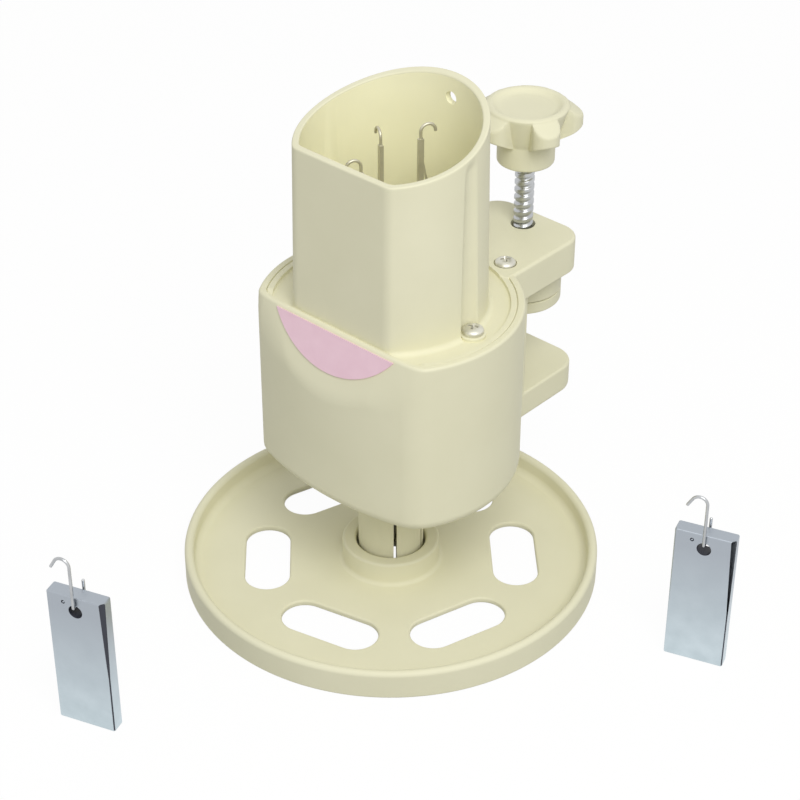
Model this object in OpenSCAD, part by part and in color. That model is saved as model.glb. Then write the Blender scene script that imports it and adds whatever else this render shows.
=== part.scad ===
// I-cord maker: a hand wheel turns a needle carrier inside a fixed housing
// that clamps to a table edge. The axis of the wheel is the Z axis, the floor
// under the wheel is z = 0, and the housing's front faces -Y.

/* [Hand wheel] */
// Outer radius of the wheel
wheel_r = 62.5; // [56:0.5:70]
// Height of the wheel's rim
wheel_h = 9; // [7:0.5:12]
// Thickness of the rim wall
wheel_rim_t = 2.8; // [2:0.1:4]
// Rounding of the rim's top edge
wheel_lip_r = 1; // [0.4:0.1:1.3]
// Thickness of the wheel's plate
wheel_plate_t = 2; // [1.6:0.1:3]
// Height of the plate's underside above the floor
wheel_plate_lift = 0.4; // [0:0.1:1]
// Number of finger slots
slot_count = 6; // [3:1:8]
// Distance of the slots from the axis
slot_circle_r = 37.5; // [33:0.5:42]
// Length of a slot from end to end
slot_len = 30.6; // [20:0.2:34]
// Width of a slot
slot_w = 13.5; // [8:0.1:16]
// Angle of the first slot
slot_turn = 43.8; // [0:0.1:60]
// Outer radius of the hub collar
hub_r = 14.7; // [13:0.1:17]
// Height of the hub collar's top above the floor
hub_h = 9.9; // [7:0.1:13]
// Radius of the hole where the cord leaves the wheel
cord_exit_r = 7; // [6:0.1:8]

/* [Drive tube] */
// Outer radius of the split tube
tube_r = 9.8; // [9:0.1:11]
// Radius of the tube's bore
tube_bore_r = 7.5; // [6.5:0.1:8]
// Gap between the tube and the hub's socket
socket_gap = 0.7; // [0.5:0.1:1]
// Width of the slits beside the snap tongues
slit_w = 1; // [0.8:0.1:1.6]
// Length of the slits
slit_len = 27.5; // [20:0.5:32]
// Angle that a snap tongue spans
tongue_angle = 60; // [40:1:80]
// Angle of the slit that faces the front right
tongue_turn = 320; // [280:1:340]
// How far a snap barb stands out
barb_out = 1.2; // [0.9:0.1:1.6]
// Height of a snap barb
barb_h = 1.6; // [1:0.1:2.5]

/* [Needle carrier] */
// Radius of the carrier's thrust flange
thrust_r = 16; // [14:0.1:18]
// Thickness of the thrust flange
thrust_t = 2.5; // [2:0.1:4]
// Radius of the grooved core
core_r = 9.4; // [9:0.1:10.5]
// Radius of the bore that the cord runs down
cord_bore_r = 5.5; // [4.5:0.1:6]
// Height of the carrier's top above the floor
carrier_top = 122; // [119:0.5:126]
// Outer radius of the sleeve round the core
sleeve_r = 14.2; // [13:0.1:15.5]
// Clearance between the raised butts and the sleeve's lower end
sleeve_clear = 2; // [1:0.1:3]
// Depth of the latch slots in the sleeve's top
latch_slot_h = 12; // [11:0.5:16]

/* [Needles] */
// Distance of the needles from the axis
needle_circle_r = 8.5; // [8.3:0.1:9]
// Angle of the first needle
needle_turn = 61.3; // [0:0.1:90]
// Height of the highest hook's top above the floor
needle_top = 147; // [144:0.5:150]
// Stroke that the cams give a needle
needle_stroke = 18; // [12:0.5:18]
// Height of the cam track's lowest point above the housing's floor
track_lift = 7.7; // [6:0.1:9]
// Depth of the needle's shank, measured outwards
shank_w = 1.6; // [1.4:0.1:1.8]
// Thickness of the needle's shank
shank_t = 1.2; // [1:0.1:1.6]
// Radius of the hook's wire
hook_wire_r = 0.45; // [0.35:0.05:0.6]
// Radius of the hook's bend at the middle of its wire
hook_bend_r = 2.1; // [1.6:0.1:2.4]
// Height of the butt that the cams move
butt_h = 3; // [2:0.1:4]
// How far a butt reaches past the sleeve's radius
butt_out = 3.3; // [2.8:0.1:3.5]
// Length of a latch from its pin to the middle of its tip
latch_len = 7.2; // [6:0.1:7.3]
// Distance of the latch pin below the hook's top
latch_drop = 10; // [9.8:0.1:11]
// Height of the shank's top above the latch pin
shank_over_pin = 5.4; // [2:0.1:6]
// Thickness of a latch
latch_t = 0.4; // [0.3:0.05:0.5]
// Radius of the latch pin
latch_pin_r = 0.3; // [0.25:0.01:0.35]
// Angle of an open latch from the shank
latch_open = 11; // [8:1:20]

/* [Housing] */
// Radius of the housing
house_r = 37.9; // [36:0.1:40]
// Distance of the front from the axis
house_front = 28.5; // [26.5:0.1:29.5]
// Radius of the shallow curve of the front
house_front_r = 90; // [80:1:110]
// Radius of the corners beside the front
house_corner_r = 6; // [4:0.5:9]
// Height of the housing's underside above the floor
house_z = 38.5; // [36:0.5:42]
// Height of the housing's top rim above the floor
house_top = 93.75; // [92:0.25:96]
// Thickness of the housing's rim
house_rim_w = 2.2; // [1.8:0.1:3]
// Thickness of the wall below the cover
house_wall = 3.2; // [2.8:0.1:4]
// Thickness of the housing's floor
house_floor_t = 2.5; // [2:0.1:3.5]
// Rounding of the housing's lower edge
house_edge_r = 4; // [2:0.5:5]
// Distance of the facet's top edge from the axis
chord_y = 22.75; // [22.2:0.05:23.5]
// Width of the rim along the facet
chord_rim_w = 1.35; // [1.2:0.05:1.6]
// Slope of the label facet from upright
facet_tilt = 17.5; // [14:0.5:19]
// Height of the bearing collar above the floor plate
bearing_h = 3; // [2:0.1:4]
// Wall of the bearing collar
bearing_wall = 3.2; // [2:0.1:4]
// Radius of the posts under the side screws
post_r = 4; // [3.4:0.1:4.4]

/* [Top cover] */
// Thickness of the cover's plate
cover_t = 2.4; // [2:0.1:3]
// Depth of the cover's plate below the rim
cover_recess = 1.35; // [0.8:0.05:2]
// Width of the cover's raised lip
cover_lip_w = 1.8; // [1.2:0.1:2.4]
// Depth of the lip's top below the rim
cover_lip_drop = 0.2; // [0.1:0.05:0.5]
// Gap between the cover and the housing
cover_gap = 0.15; // [0.1:0.05:0.3]
// Radius of the tower at its foot
tower_r = 27.4; // [26.5:0.1:28]
// Radius of the tower at its highest point
tower_top_r = 26.4; // [25.5:0.1:27]
// Distance of the tower's flat front from the axis
tower_flat = 21; // [20:0.1:21]
// Thickness of the tower's wall
tower_wall = 2; // [1.6:0.1:2.2]
// Radius of the mouth's curve, seen from the side
mouth_r = 156; // [120:1:200]
// Height of the mouth curve's lowest point
mouth_low = 142.5; // [140:0.5:145]
// Distance in front of the axis of that point
mouth_low_y = 33; // [28:0.5:38]
// Radius of the grooves beside the side screws
groove_r = 4.4; // [4.3:0.1:5]
// Distance of the grooves from the axis
groove_circle_r = 29.2; // [28.8:0.1:29.3]
// Angle of the grooves behind the middle
groove_turn = 5; // [0:0.5:10]
// Radius of the yarn hole
yarn_hole_r = 1.9; // [1.5:0.1:2.5]
// Height of the yarn hole above the floor
yarn_hole_z = 147; // [145:0.5:148]
// Outer radius of the foot ring round the tower
foot_r = 29.4; // [28.8:0.1:30]
// Height of the foot ring
foot_h = 0.8; // [0.4:0.1:1.2]

/* [Guide bush] */
// Length of the bush below the cover's top face
bush_len = 11; // [8:0.5:14]
// Wall of the bush
bush_wall = 3.2; // [2.4:0.1:4]
// Radius of the bush's flange
bush_flange_r = 20; // [19:0.1:20.4]
// Thickness of the bush's flange
bush_flange_t = 1.6; // [1.2:0.1:2.4]

/* [Cams] */
// Radial thickness of the raising cam
cam_ring_t = 2; // [1.6:0.1:2.2]
// Wall of the stitch cam's drum
cam_drum_t = 1.8; // [1.4:0.1:2]
// Height of the stitch cam's top above the sleeve's lower end
cam_over_sleeve = 3.5; // [2.5:0.5:5]
// Distance of the cam screws from the axis
cam_screw_circle_r = 26.4; // [26:0.1:28]
// Radius of the ears round the cam screws
cam_ear_r = 3.6; // [3.2:0.1:4]
// Thickness of the ears
cam_ear_t = 2; // [1.6:0.1:3]

/* [Table clamp] */
// Half the width of spine and jaw
clamp_half_w = 15.6; // [14:0.1:17]
// Half the width of the arm
arm_half_w = 17.5; // [16:0.1:18.5]
// Distance of the arm's end from the axis
arm_y = 66.4; // [64:0.1:70]
// Thickness of the arm
arm_t = 10.75; // [9:0.25:13]
// Rounding of the arm's corners
arm_corner_r = 7.5; // [6:0.5:10]
// Rounding of the jaw's corners
clamp_corner_r = 8.5; // [6:0.5:10]
// Distance of the spine's back from the axis
spine_y = 43.2; // [42:0.1:44]
// Distance of the jaw's end from the axis
jaw_y = 70; // [66:0.5:74]
// Thickness of the jaw
jaw_t = 9.2; // [7:0.1:11]
// Distance of the clamp screw from the axis
screw_y = 58.4; // [57:0.1:59]
// Radius of the boss under the arm
boss_r = 12.2; // [11:0.1:13]
// Height of the boss
boss_h = 9.75; // [8:0.25:12]
// Radius of the clearance hole in the arm
arm_hole_r = 3.7; // [3.4:0.1:4.2]
// Outer radius of the screw's thread
thread_r = 2.95; // [2.6:0.05:3.1]
// Depth of the thread
thread_d = 0.6; // [0.4:0.05:0.8]
// Pitch of the thread
thread_pitch = 2.5; // [1.5:0.1:3]
// Nut size across its corners, as a radius
nut_r = 5.8; // [5.4:0.1:6.2]
// Thickness of the nut
nut_t = 5; // [4:0.1:5.5]
// Radius of the pressure pad
pad_r = 12.2; // [11:0.1:13]
// Thickness of the pressure pad
pad_t = 3.8; // [3.2:0.1:5]
// Radius of the pad washer
pad_washer_r = 4.2; // [3.6:0.1:5]
// Thickness of the pad washer
pad_washer_t = 0.8; // [0.6:0.1:1]
// Travel of the pressure pad
pad_travel = 20.5; // [15:0.5:20.5]

/* [Clamp knob] */
// Height of the knob's lower end above the floor, pad raised
knob_z = 114.9; // [114.8:0.1:118]
// Radius of the knob's neck
knob_neck_r = 8.5; // [7.5:0.1:9.5]
// Height of the knob's neck
knob_neck_h = 7.5; // [5:0.1:8]
// Radius of the knob's head between its lobes
knob_head_r = 12.1; // [11:0.1:13]
// Height of the knob's head
knob_head_h = 10.9; // [9:0.1:12]
// Distance of a lobe's tip from the screw
knob_lobe_tip_r = 16.4; // [15:0.1:17]
// Radius of a lobe
knob_lobe_r = 4.2; // [4:0.1:5]
// Height from the neck to the lower edge of a lobe's tip
knob_tip_low = 3.6; // [3:0.1:4.5]
// Height from the neck to the upper edge of a lobe's tip
knob_tip_top = 7; // [6:0.1:8]
// Height from the neck at which the head is at its full width between the lobes
knob_flare_h = 8.6; // [7:0.1:9.5]
// Number of lobes
knob_lobes = 5; // [5:1:6]
// Angle of the first lobe
knob_turn = 334.3; // [0:0.1:360]
// Radius of the dish in the knob's top
knob_dish_r = 10.2; // [9:0.1:11]
// Depth of the dish
knob_dish_d = 1.4; // [1:0.1:2]

/* [Screws and label] */
// Radius of the cover screws' shanks
screw_r = 1.75; // [1.5:0.05:2]
// Radius of the cover screws' heads
screw_head_r = 3.1; // [2.9:0.1:3.2]
// Height of the cover screws' heads
screw_head_h = 2.2; // [1.8:0.1:2.6]
// Depth of the rear screws' seats
screw_seat_d = 0.7; // [0.4:0.1:1]
// Height of the pads under the side screws' heads
side_pad_h = 1; // [0.9:0.1:1.2]
// Width of those pads round the heads
side_pad_w = 0.6; // [0.4:0.1:0.8]
// Length of the side screws' shanks
side_screw_len = 13; // [10:0.5:16]
// Length of the rear screws' shanks
rear_screw_len = 22; // [18:0.5:26]
// Distance of the side screws from the axis
side_screw_r = 28.3; // [28.2:0.1:28.4]
// Distance of the rear screws from the middle
rear_screw_x = 11; // [9:0.1:11.5]
// Distance of the rear screws behind the axis
rear_screw_y = 37; // [36:0.1:38]
// Radius of the cam screws' shanks
cam_screw_r = 1.2; // [1:0.05:1.4]
// Radius of the cam screws' heads
cam_screw_head_r = 2.4; // [2:0.1:2.8]
// Thickness of the label
label_t = 0.4; // [0.2:0.05:0.6]
// Half the width of the label
label_half_w = 22; // [19:0.5:22.5]
// Height of the label at its middle
label_h = 11.4; // [10:0.2:12]
// Distance of the label's straight edge below the facet's top
label_drop = 1; // [0.4:0.1:1.2]

/* [Weights] */
// Width of a weight
weight_w = 17.5; // [16:0.5:26]
// Depth of a weight
weight_d = 4.5; // [4:0.5:10]
// Height of a weight
weight_h = 45; // [40:0.5:52]
// Radius of the hole for the hook
weight_hole_r = 2.1; // [1.8:0.1:2.6]
// Distance of the hole below the top
weight_hole_drop = 4.8; // [4:0.1:6]
// Width of the bevel at the top of the right front edge
weight_bevel_w = 1.3; // [0.8:0.1:2]
// Length of that bevel down the edge
weight_bevel_len = 34; // [20:1:38]
// Angle of the weights' faces
weight_turn = 19; // [0:1:45]
// Sideways and forward places of the weights
weight_places = [[-14.1, -108.5], [94.3, 26.8]];
// Radius of the hook's wire
wire_r = 0.45; // [0.4:0.05:0.6]
// Height of the hook above the weight
wire_rise = 13.6; // [10:0.2:16]
// Radius of the hook's bend at the middle of its wire
wire_bend_r = 2.3; // [2:0.1:3]
// Height of the wire's tail above the weight
wire_tail = 2.2; // [1.5:0.1:3]

/* [Hidden] */
$fn = 72;

// Colours of the pieces
cream = [0.90, 0.88, 0.76];
nylon = [0.94, 0.94, 0.92];
pink = [0.90, 0.76, 0.81];
steel = [0.62, 0.63, 0.64];
zinc = [0.76, 0.79, 0.80];

// Clearances shared by several pieces
run_gap = 0.07;
seat_gap = 0.1;
free_gap = 0.3;
cut_over = 1;
sides = [-1, 1];

// How high each needle stands at rest, as shares of the stroke
lift_shares = [1, 0.74, 0.58, 0];
needle_count = len(lift_shares);
needle_step = 360 / needle_count;

// Levels and radii that several pieces share
tube_seat = wheel_plate_lift + wheel_plate_t;
socket_r = tube_r + socket_gap;
barb_z = tube_seat + barb_h;
floor_top = house_z + house_floor_t;
bearing_top = floor_top + bearing_h;
bearing_r = tube_r + run_gap;
washer_t = 1;
thrust_z = bearing_top + washer_t + seat_gap;
core_z = thrust_z + thrust_t;
cover_top = house_top - cover_recess;
cover_z = cover_top - cover_t;
arm_z = house_top - arm_t;
jaw_top = house_z + jaw_t;
boss_z = arm_z - boss_h;
pad_top = boss_z - free_gap;
pad_z = pad_top - pad_t;
bush_bore_r = sleeve_r + run_gap;
bush_r = bush_bore_r + bush_wall;

// Plan of the housing: a circle, a shallow front arc and two corner arcs
front_c = house_front_r - house_front;
corner_y = (pow(house_r - house_corner_r, 2) + pow(front_c, 2)
    - pow(house_front_r - house_corner_r, 2)) / (2 * front_c);
corner_x = sqrt(pow(house_r - house_corner_r, 2) - pow(corner_y, 2));
corner_from = atan2(corner_y - front_c, corner_x);
corner_to = atan2(corner_y, corner_x);
corner_mid = (corner_from + corner_to) / 2;
corner_half = (corner_to - corner_from) / 2;
corner_cut_share = 1.35;
corner_cut_r = corner_cut_share * house_corner_r;
corner_cut_half = asin(sin(corner_half) / corner_cut_share);
corner_back = corner_cut_r * cos(corner_cut_half) - house_corner_r * cos(corner_half);
corner_cut_x = corner_x - corner_back * cos(corner_mid);
corner_cut_y = corner_y - corner_back * sin(corner_mid);
corner_wedge_spare = 9;
corner_wedge_half = corner_cut_half + corner_wedge_spare;
corner_reach = 3 * house_corner_r;
root_y = sqrt(pow(house_r - house_wall, 2) - pow(arm_half_w, 2));
lip_in_r = house_r - house_rim_w - cover_gap - cover_lip_w;
arm_lap = 0.1;
cover_front = chord_y - chord_rim_w - cover_gap;

// Needles, latches and the cam track round them
pin_out = 0.35;
pin_at_r = needle_circle_r + pin_out;
groove_r_in = needle_circle_r - shank_w / 2 - seat_gap;
groove_w = shank_t + 2 * seat_gap;
latch_eye_r = 0.65;
latch_arm_w = 0.5;
latch_tip_r = 0.35;
latch_slot_w = latch_t + 2 * seat_gap;
butt_reach = sleeve_r + butt_out;
cam_in_r = butt_reach + free_gap;
cam_out_r = cam_in_r + cam_ring_t;
drum_in_r = cam_out_r + seat_gap;
drum_r = drum_in_r + cam_drum_t;
track_low = floor_top + track_lift;
track_gap = butt_h + 2 * free_gap;
needle_len = needle_top - needle_stroke - track_low - free_gap;
sleeve_z = needle_top - needle_len + butt_h + sleeve_clear;
cam_top = sleeve_z + cam_over_sleeve;
cam_steps = 72;

// Screws
cam_pad_h = 3;
cam_screw_len = 6;
cam_screw_head_h = 1.6;
cam_ear_turns = [90, 210, 330];
recess_share = 0.62;
recess_w_share = 0.2;
recess_d_share = 0.5;

// Clamp screw and knob
stub_r = 2;
pad_web = 2;
shank_top_r = 2.6;
shank_top_len = 9;
nut_z = boss_z + 2 * free_gap;
lobe_at_r = knob_lobe_tip_r - knob_lobe_r;
lobe_past = 1;
lobe_root_drop = 0.8;
lobe_under = knob_tip_low / (knob_lobe_tip_r - knob_neck_r);
lobe_root_h = knob_head_h - lobe_root_drop;
lobe_over = (lobe_root_h - knob_tip_top) / (knob_lobe_tip_r - knob_head_r);

// Weight details
dimple_r = 0.7;
dimple_d = 0.6;
dimple_x = 3.6;
dimple_drop = 2.4;
hook_leg_y = weight_d / 2 + free_gap + wire_r;
hook_z = weight_h - weight_hole_drop + weight_hole_r - wire_r - seat_gap;
hook_bend_z = weight_h + wire_rise - wire_r - wire_bend_r;
hook_bend_angle = 150;
hook_tip_len = 2.6;

// Height of the cam track at an angle, as a share of the stroke
function track_share(a) =
    let (turn = (a - needle_turn + 360) % 360 / needle_step,
        i = floor(turn) % needle_count,
        from = lift_shares[i],
        to = lift_shares[(i + 1) % needle_count])
    from + (to - from) * (1 - cos(180 * (turn - floor(turn)))) / 2;

// Height of a needle hook's top at rest
function hook_top(k) = needle_top - needle_stroke * (1 - lift_shares[k - 1]);

// Height of a latch pin at rest
function pin_z(k) = hook_top(k) - latch_drop;

// A ring between two radii
module ring(r_out, r_in, h, z) {
    translate([0, 0, z])
        difference() {
            cylinder(r = r_out, h = h);
            translate([0, 0, -cut_over])
                cylinder(r = r_in, h = h + 2 * cut_over);
        }
}

// A post whose lower edge is rounded
module round_foot_post(r, z, top, edge) {
    rotate_extrude()
        union() {
            translate([0, z + edge])
                square([r, top - z - edge]);
            translate([0, z])
                square([r - edge, edge]);
            translate([r - edge, z + edge])
                intersection() {
                    circle(r = edge);
                    translate([0, -edge])
                        square(edge);
                }
        }
}

// Plan of the wedge that holds the right front corner
module corner_wedge_plan() {
    polygon([[corner_cut_x, corner_cut_y],
        for (a = [corner_mid - corner_wedge_half, corner_mid + corner_wedge_half])
            [corner_cut_x + corner_reach * cos(a), corner_cut_y + corner_reach * sin(a)]]);
}

// Plan of the housing, drawn in by an inset
module house_plan(inset) {
    difference() {
        intersection() {
            circle(r = house_r - inset);
            translate([0, front_c])
                circle(r = house_front_r - inset);
        }
        for (s = sides)
            mirror([s > 0 ? 0 : 1, 0])
                difference() {
                    corner_wedge_plan();
                    translate([corner_cut_x, corner_cut_y])
                        circle(r = corner_cut_r - inset);
                }
    }
}

// Plan behind a line across the front
module behind_line(y) {
    translate([-house_r, -y])
        square([2 * house_r, y + house_r]);
}

// Outside of the housing with its rounded lower edge
module house_block() {
    difference() {
        intersection() {
            round_foot_post(house_r, house_z, house_top, house_edge_r);
            translate([0, front_c, 0])
                round_foot_post(house_front_r, house_z, house_top, house_edge_r);
        }
        for (s = sides)
            mirror([s > 0 ? 0 : 1, 0, 0])
                difference() {
                    translate([0, 0, house_z - cut_over])
                        linear_extrude(house_top - house_z + 2 * cut_over)
                            corner_wedge_plan();
                    translate([corner_cut_x, corner_cut_y, 0])
                        round_foot_post(corner_cut_r, house_z, house_top + 2 * cut_over,
                            house_edge_r);
                }
    }
}

// Everything in front of the facet's plane, moved back by an inset
module facet_front(inset) {
    translate([0, -chord_y + inset / cos(facet_tilt), house_top])
        rotate([-facet_tilt, 0, 0])
            translate([-house_r, -house_r, -2 * house_r])
                cube([2 * house_r, house_r, 3 * house_r]);
}

// Plan of the arm and the jaw: straight sides and two round corners
module clamp_plan(from_y, to_y, half_w, corner_r) {
    translate([-half_w, from_y])
        square([2 * half_w, to_y - corner_r - from_y]);
    translate([-half_w + corner_r, from_y])
        square([2 * (half_w - corner_r), to_y - from_y]);
    for (s = sides)
        translate([s * (half_w - corner_r), to_y - corner_r])
            circle(r = corner_r);
}

// Places of the side screws and of the grooves over them
module at_side(r) {
    for (s = sides)
        translate([s * r * cos(groove_turn), r * sin(groove_turn), 0])
            children();
}

// Places of the rear screws
module at_rear() {
    for (s = sides)
        translate([s * rear_screw_x, rear_screw_y, 0])
            children();
}

// Places of the cam screws
module at_cam_screws() {
    for (a = cam_ear_turns)
        rotate([0, 0, a])
            translate([cam_screw_circle_r, 0, 0])
                children();
}

module house_cavity() {
    difference() {
        translate([0, 0, floor_top])
            linear_extrude(cover_z - floor_top + cut_over)
                house_plan(house_wall);
        facet_front(house_wall);
    }
    translate([0, 0, cover_z])
        linear_extrude(house_top - cover_z + cut_over)
            intersection() {
                house_plan(house_rim_w);
                behind_line(chord_y - chord_rim_w);
            }
}

module lower_housing() {
    notch_w = arm_half_w + cover_gap;
    color(cream)
        difference() {
            union() {
                difference() {
                    union() {
                        house_block();
                        translate([-clamp_half_w, 0, house_z])
                            cube([2 * clamp_half_w, spine_y, arm_z - house_z]);
                        translate([0, 0, house_z])
                            linear_extrude(jaw_t)
                                clamp_plan(0, jaw_y, clamp_half_w, clamp_corner_r);
                    }
                    house_cavity();
                    facet_front(0);
                }
                ring(bearing_r + bearing_wall, bearing_r, bearing_h, floor_top);
                at_side(side_screw_r)
                    translate([0, 0, floor_top])
                        cylinder(r = post_r, h = cover_z - floor_top);
                at_cam_screws()
                    translate([0, 0, floor_top])
                        cylinder(r = cam_ear_r, h = cam_pad_h);
            }
            translate([0, 0, house_z - cut_over])
                cylinder(r = bearing_r, h = house_floor_t + 2 * cut_over);
            translate([-notch_w, root_y - cut_over, arm_z])
                cube([2 * notch_w, spine_y, arm_t + cut_over]);
            at_side(side_screw_r)
                translate([0, 0, cover_top - side_screw_len - cut_over])
                    cylinder(r = screw_r + run_gap, h = side_screw_len + cut_over);
            at_rear()
                translate([0, 0, house_top - rear_screw_len - cut_over])
                    cylinder(r = screw_r + run_gap, h = rear_screw_len + cut_over);
            at_cam_screws()
                translate([0, 0, house_z + cut_over])
                    cylinder(r = cam_screw_r + run_gap, h = house_z);
        }
}

// Cone that the tower is cut from, drawn in by an inset
module tower_cone(inset, over) {
    tower_h = mouth_low + mouth_r
        - sqrt(pow(mouth_r, 2) - pow(tower_top_r + mouth_low_y, 2)) - cover_top;
    difference() {
        translate([0, 0, cover_top - over])
            cylinder(r1 = tower_r - inset, r2 = tower_top_r - inset,
                h = tower_h + over);
        translate([-tower_r, -2 * tower_r - tower_flat + inset, cover_top - over - cut_over])
            cube([2 * tower_r, 2 * tower_r, tower_h + over + 2 * cut_over]);
    }
}

module tower() {
    difference() {
        union() {
            difference() {
                tower_cone(0, 0);
                tower_cone(tower_wall, cut_over);
            }
            intersection() {
                tower_cone(0, 0);
                at_side(groove_circle_r)
                    translate([0, 0, cover_top])
                        cylinder(r = groove_r + tower_wall, h = needle_top);
            }
        }
        at_side(groove_circle_r)
            translate([0, 0, cover_top - cut_over])
                cylinder(r = groove_r, h = needle_top);
        translate([0, -mouth_low_y, mouth_low + mouth_r])
            rotate([0, 90, 0])
                cylinder(r = mouth_r, h = 4 * tower_r, center = true, $fn = 180);
        translate([0, 0, yarn_hole_z])
            rotate([-90, 0, 0])
                cylinder(r = yarn_hole_r, h = 2 * tower_r);
    }
}

module top_cover() {
    lip_top = house_top - cover_lip_drop;
    color(cream)
        difference() {
            union() {
                translate([0, 0, cover_z])
                    linear_extrude(cover_t)
                        intersection() {
                            house_plan(house_rim_w + cover_gap);
                            behind_line(cover_front);
                        }
                translate([0, 0, cover_top])
                    linear_extrude(lip_top - cover_top)
                        difference() {
                            intersection() {
                                house_plan(house_rim_w + cover_gap);
                                behind_line(tower_flat - cover_lip_w);
                            }
                            circle(r = lip_in_r);
                        }
                intersection() {
                    ring(foot_r, tower_r - tower_wall / 2, foot_h, cover_top);
                    translate([0, 0, cover_top])
                        linear_extrude(foot_h)
                            behind_line(cover_front);
                }
                tower();
                at_side(side_screw_r)
                    translate([0, 0, cover_z])
                        cylinder(r = screw_head_r + side_pad_w, h = cover_t + side_pad_h);
                difference() {
                    translate([0, 0, arm_z])
                        linear_extrude(arm_t)
                            clamp_plan(root_y, arm_y, arm_half_w, arm_corner_r);
                    translate([0, 0, cover_top - arm_lap])
                        cylinder(r = lip_in_r - arm_lap, h = cover_recess + arm_lap + cut_over);
                }
                intersection() {
                    translate([0, screw_y, boss_z])
                        cylinder(r = boss_r, h = boss_h + cut_over);
                    translate([-boss_r - cut_over, screw_y - 2 * boss_r, boss_z - cut_over])
                        cube([2 * (boss_r + cut_over), arm_y - screw_y + 2 * boss_r,
                            boss_h + 3 * cut_over]);
                }
            }
            translate([0, 0, cover_z - cut_over])
                cylinder(r = bush_r + seat_gap, h = cover_t + 2 * cut_over);
            at_side(side_screw_r)
                translate([0, 0, cover_z - cut_over])
                    cylinder(r = screw_r + run_gap, h = cover_t + side_pad_h + 2 * cut_over);
            at_rear() {
                translate([0, 0, arm_z - cut_over])
                    cylinder(r = screw_r + run_gap, h = arm_t + cut_over);
                translate([0, 0, house_top - screw_seat_d])
                    cylinder(r = screw_head_r + free_gap, h = screw_head_h);
            }
            translate([0, screw_y, boss_z - cut_over])
                cylinder(r = nut_r + seat_gap, h = nut_z - boss_z + nut_t + seat_gap + cut_over,
                    $fn = 6);
            translate([0, screw_y, boss_z])
                cylinder(r = arm_hole_r, h = boss_h + arm_t + cut_over);
        }
}

module label_plate() {
    arc_r = (pow(label_half_w, 2) + pow(label_h, 2)) / (2 * label_h);
    color(pink)
        translate([0, -chord_y, house_top])
            rotate([90 - facet_tilt, 0, 0])
                linear_extrude(label_t)
                    intersection() {
                        translate([0, arc_r - label_h - label_drop])
                            circle(r = arc_r);
                        translate([-label_half_w, -label_h - label_drop])
                            square([2 * label_half_w, label_h]);
                    }
}

module guide_bush() {
    color(nylon) {
        ring(bush_r, bush_bore_r, bush_len + bush_flange_t, cover_top - bush_len);
        intersection() {
            ring(bush_flange_r, bush_bore_r, bush_flange_t, cover_top);
            translate([0, 0, cover_top])
                linear_extrude(bush_flange_t)
                    behind_line(tower_flat - tower_wall - seat_gap);
        }
    }
}

// A ring whose lower or upper face follows the cam track
module track_ring(r_in, r_out, flat_z, track_z) {
    turns = [for (i = [0:cam_steps - 1]) i * 360 / cam_steps];
    corners = [for (a = turns)
        let (z = track_z + needle_stroke * track_share(a))
        each [[r_in * cos(a), r_in * sin(a), min(z, flat_z)],
            [r_out * cos(a), r_out * sin(a), min(z, flat_z)],
            [r_out * cos(a), r_out * sin(a), max(z, flat_z)],
            [r_in * cos(a), r_in * sin(a), max(z, flat_z)]]];
    sides_of_ring = [for (i = [0:cam_steps - 1], j = [0:3])
        let (here = 4 * i, next = 4 * ((i + 1) % cam_steps), up = (j + 1) % 4)
        each [[here + j, here + up, next + up], [here + j, next + up, next + j]]];
    polyhedron(corners, sides_of_ring);
}

module raising_cam() {
    color(nylon)
        track_ring(cam_in_r, cam_out_r, floor_top, track_low);
}

module stitch_cam() {
    ear_z = floor_top + cam_pad_h;
    color(nylon)
        difference() {
            union() {
                ring(drum_r, drum_in_r, cam_top - floor_top, floor_top);
                track_ring(cam_in_r, drum_in_r + seat_gap, cam_top, track_low + track_gap);
                difference() {
                    at_cam_screws()
                        translate([0, 0, ear_z]) {
                            cylinder(r = cam_ear_r, h = cam_ear_t);
                            translate([drum_in_r - cam_screw_circle_r, -cam_ear_r, 0])
                                cube([cam_screw_circle_r - drum_in_r, 2 * cam_ear_r,
                                    cam_ear_t]);
                        }
                    translate([0, 0, ear_z - cut_over])
                        cylinder(r = drum_in_r + seat_gap, h = cam_ear_t + 2 * cut_over);
                }
            }
            at_cam_screws()
                translate([0, 0, ear_z - cut_over])
                    cylinder(r = cam_screw_r + run_gap, h = cam_ear_t + 2 * cut_over);
        }
}

// A pan-head screw, its head's underside at z = 0
module pan_screw(r, len, head_r, head_h) {
    difference() {
        union() {
            translate([0, 0, -len])
                cylinder(r = r, h = len + head_h / 2);
            cylinder(r = head_r, h = head_h / 2);
            translate([0, 0, head_h / 2])
                cylinder(r1 = head_r, r2 = head_r * recess_share, h = head_h / 2);
        }
        for (a = [0, 90])
            rotate([0, 0, a])
                translate([-head_r * recess_share / 2, -head_r * recess_w_share / 2,
                    head_h * (1 - recess_d_share)])
                    cube([head_r * recess_share, head_r * recess_w_share, head_h]);
    }
}

module cam_screws() {
    color(steel)
        at_cam_screws()
            translate([0, 0, floor_top + cam_pad_h + cam_ear_t])
                pan_screw(cam_screw_r, cam_screw_len, cam_screw_head_r, cam_screw_head_h);
}

module side_screws() {
    color(steel)
        at_side(side_screw_r)
            translate([0, 0, cover_top + side_pad_h])
                pan_screw(screw_r, side_screw_len, screw_head_r, screw_head_h);
}

module rear_screws() {
    color(steel)
        at_rear()
            translate([0, 0, house_top - screw_seat_d])
                pan_screw(screw_r, rear_screw_len, screw_head_r, screw_head_h);
}

module thrust_washer() {
    color(nylon)
        ring(bearing_r + bearing_wall + washer_t, bearing_r + seat_gap, washer_t, bearing_top);
}

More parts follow.
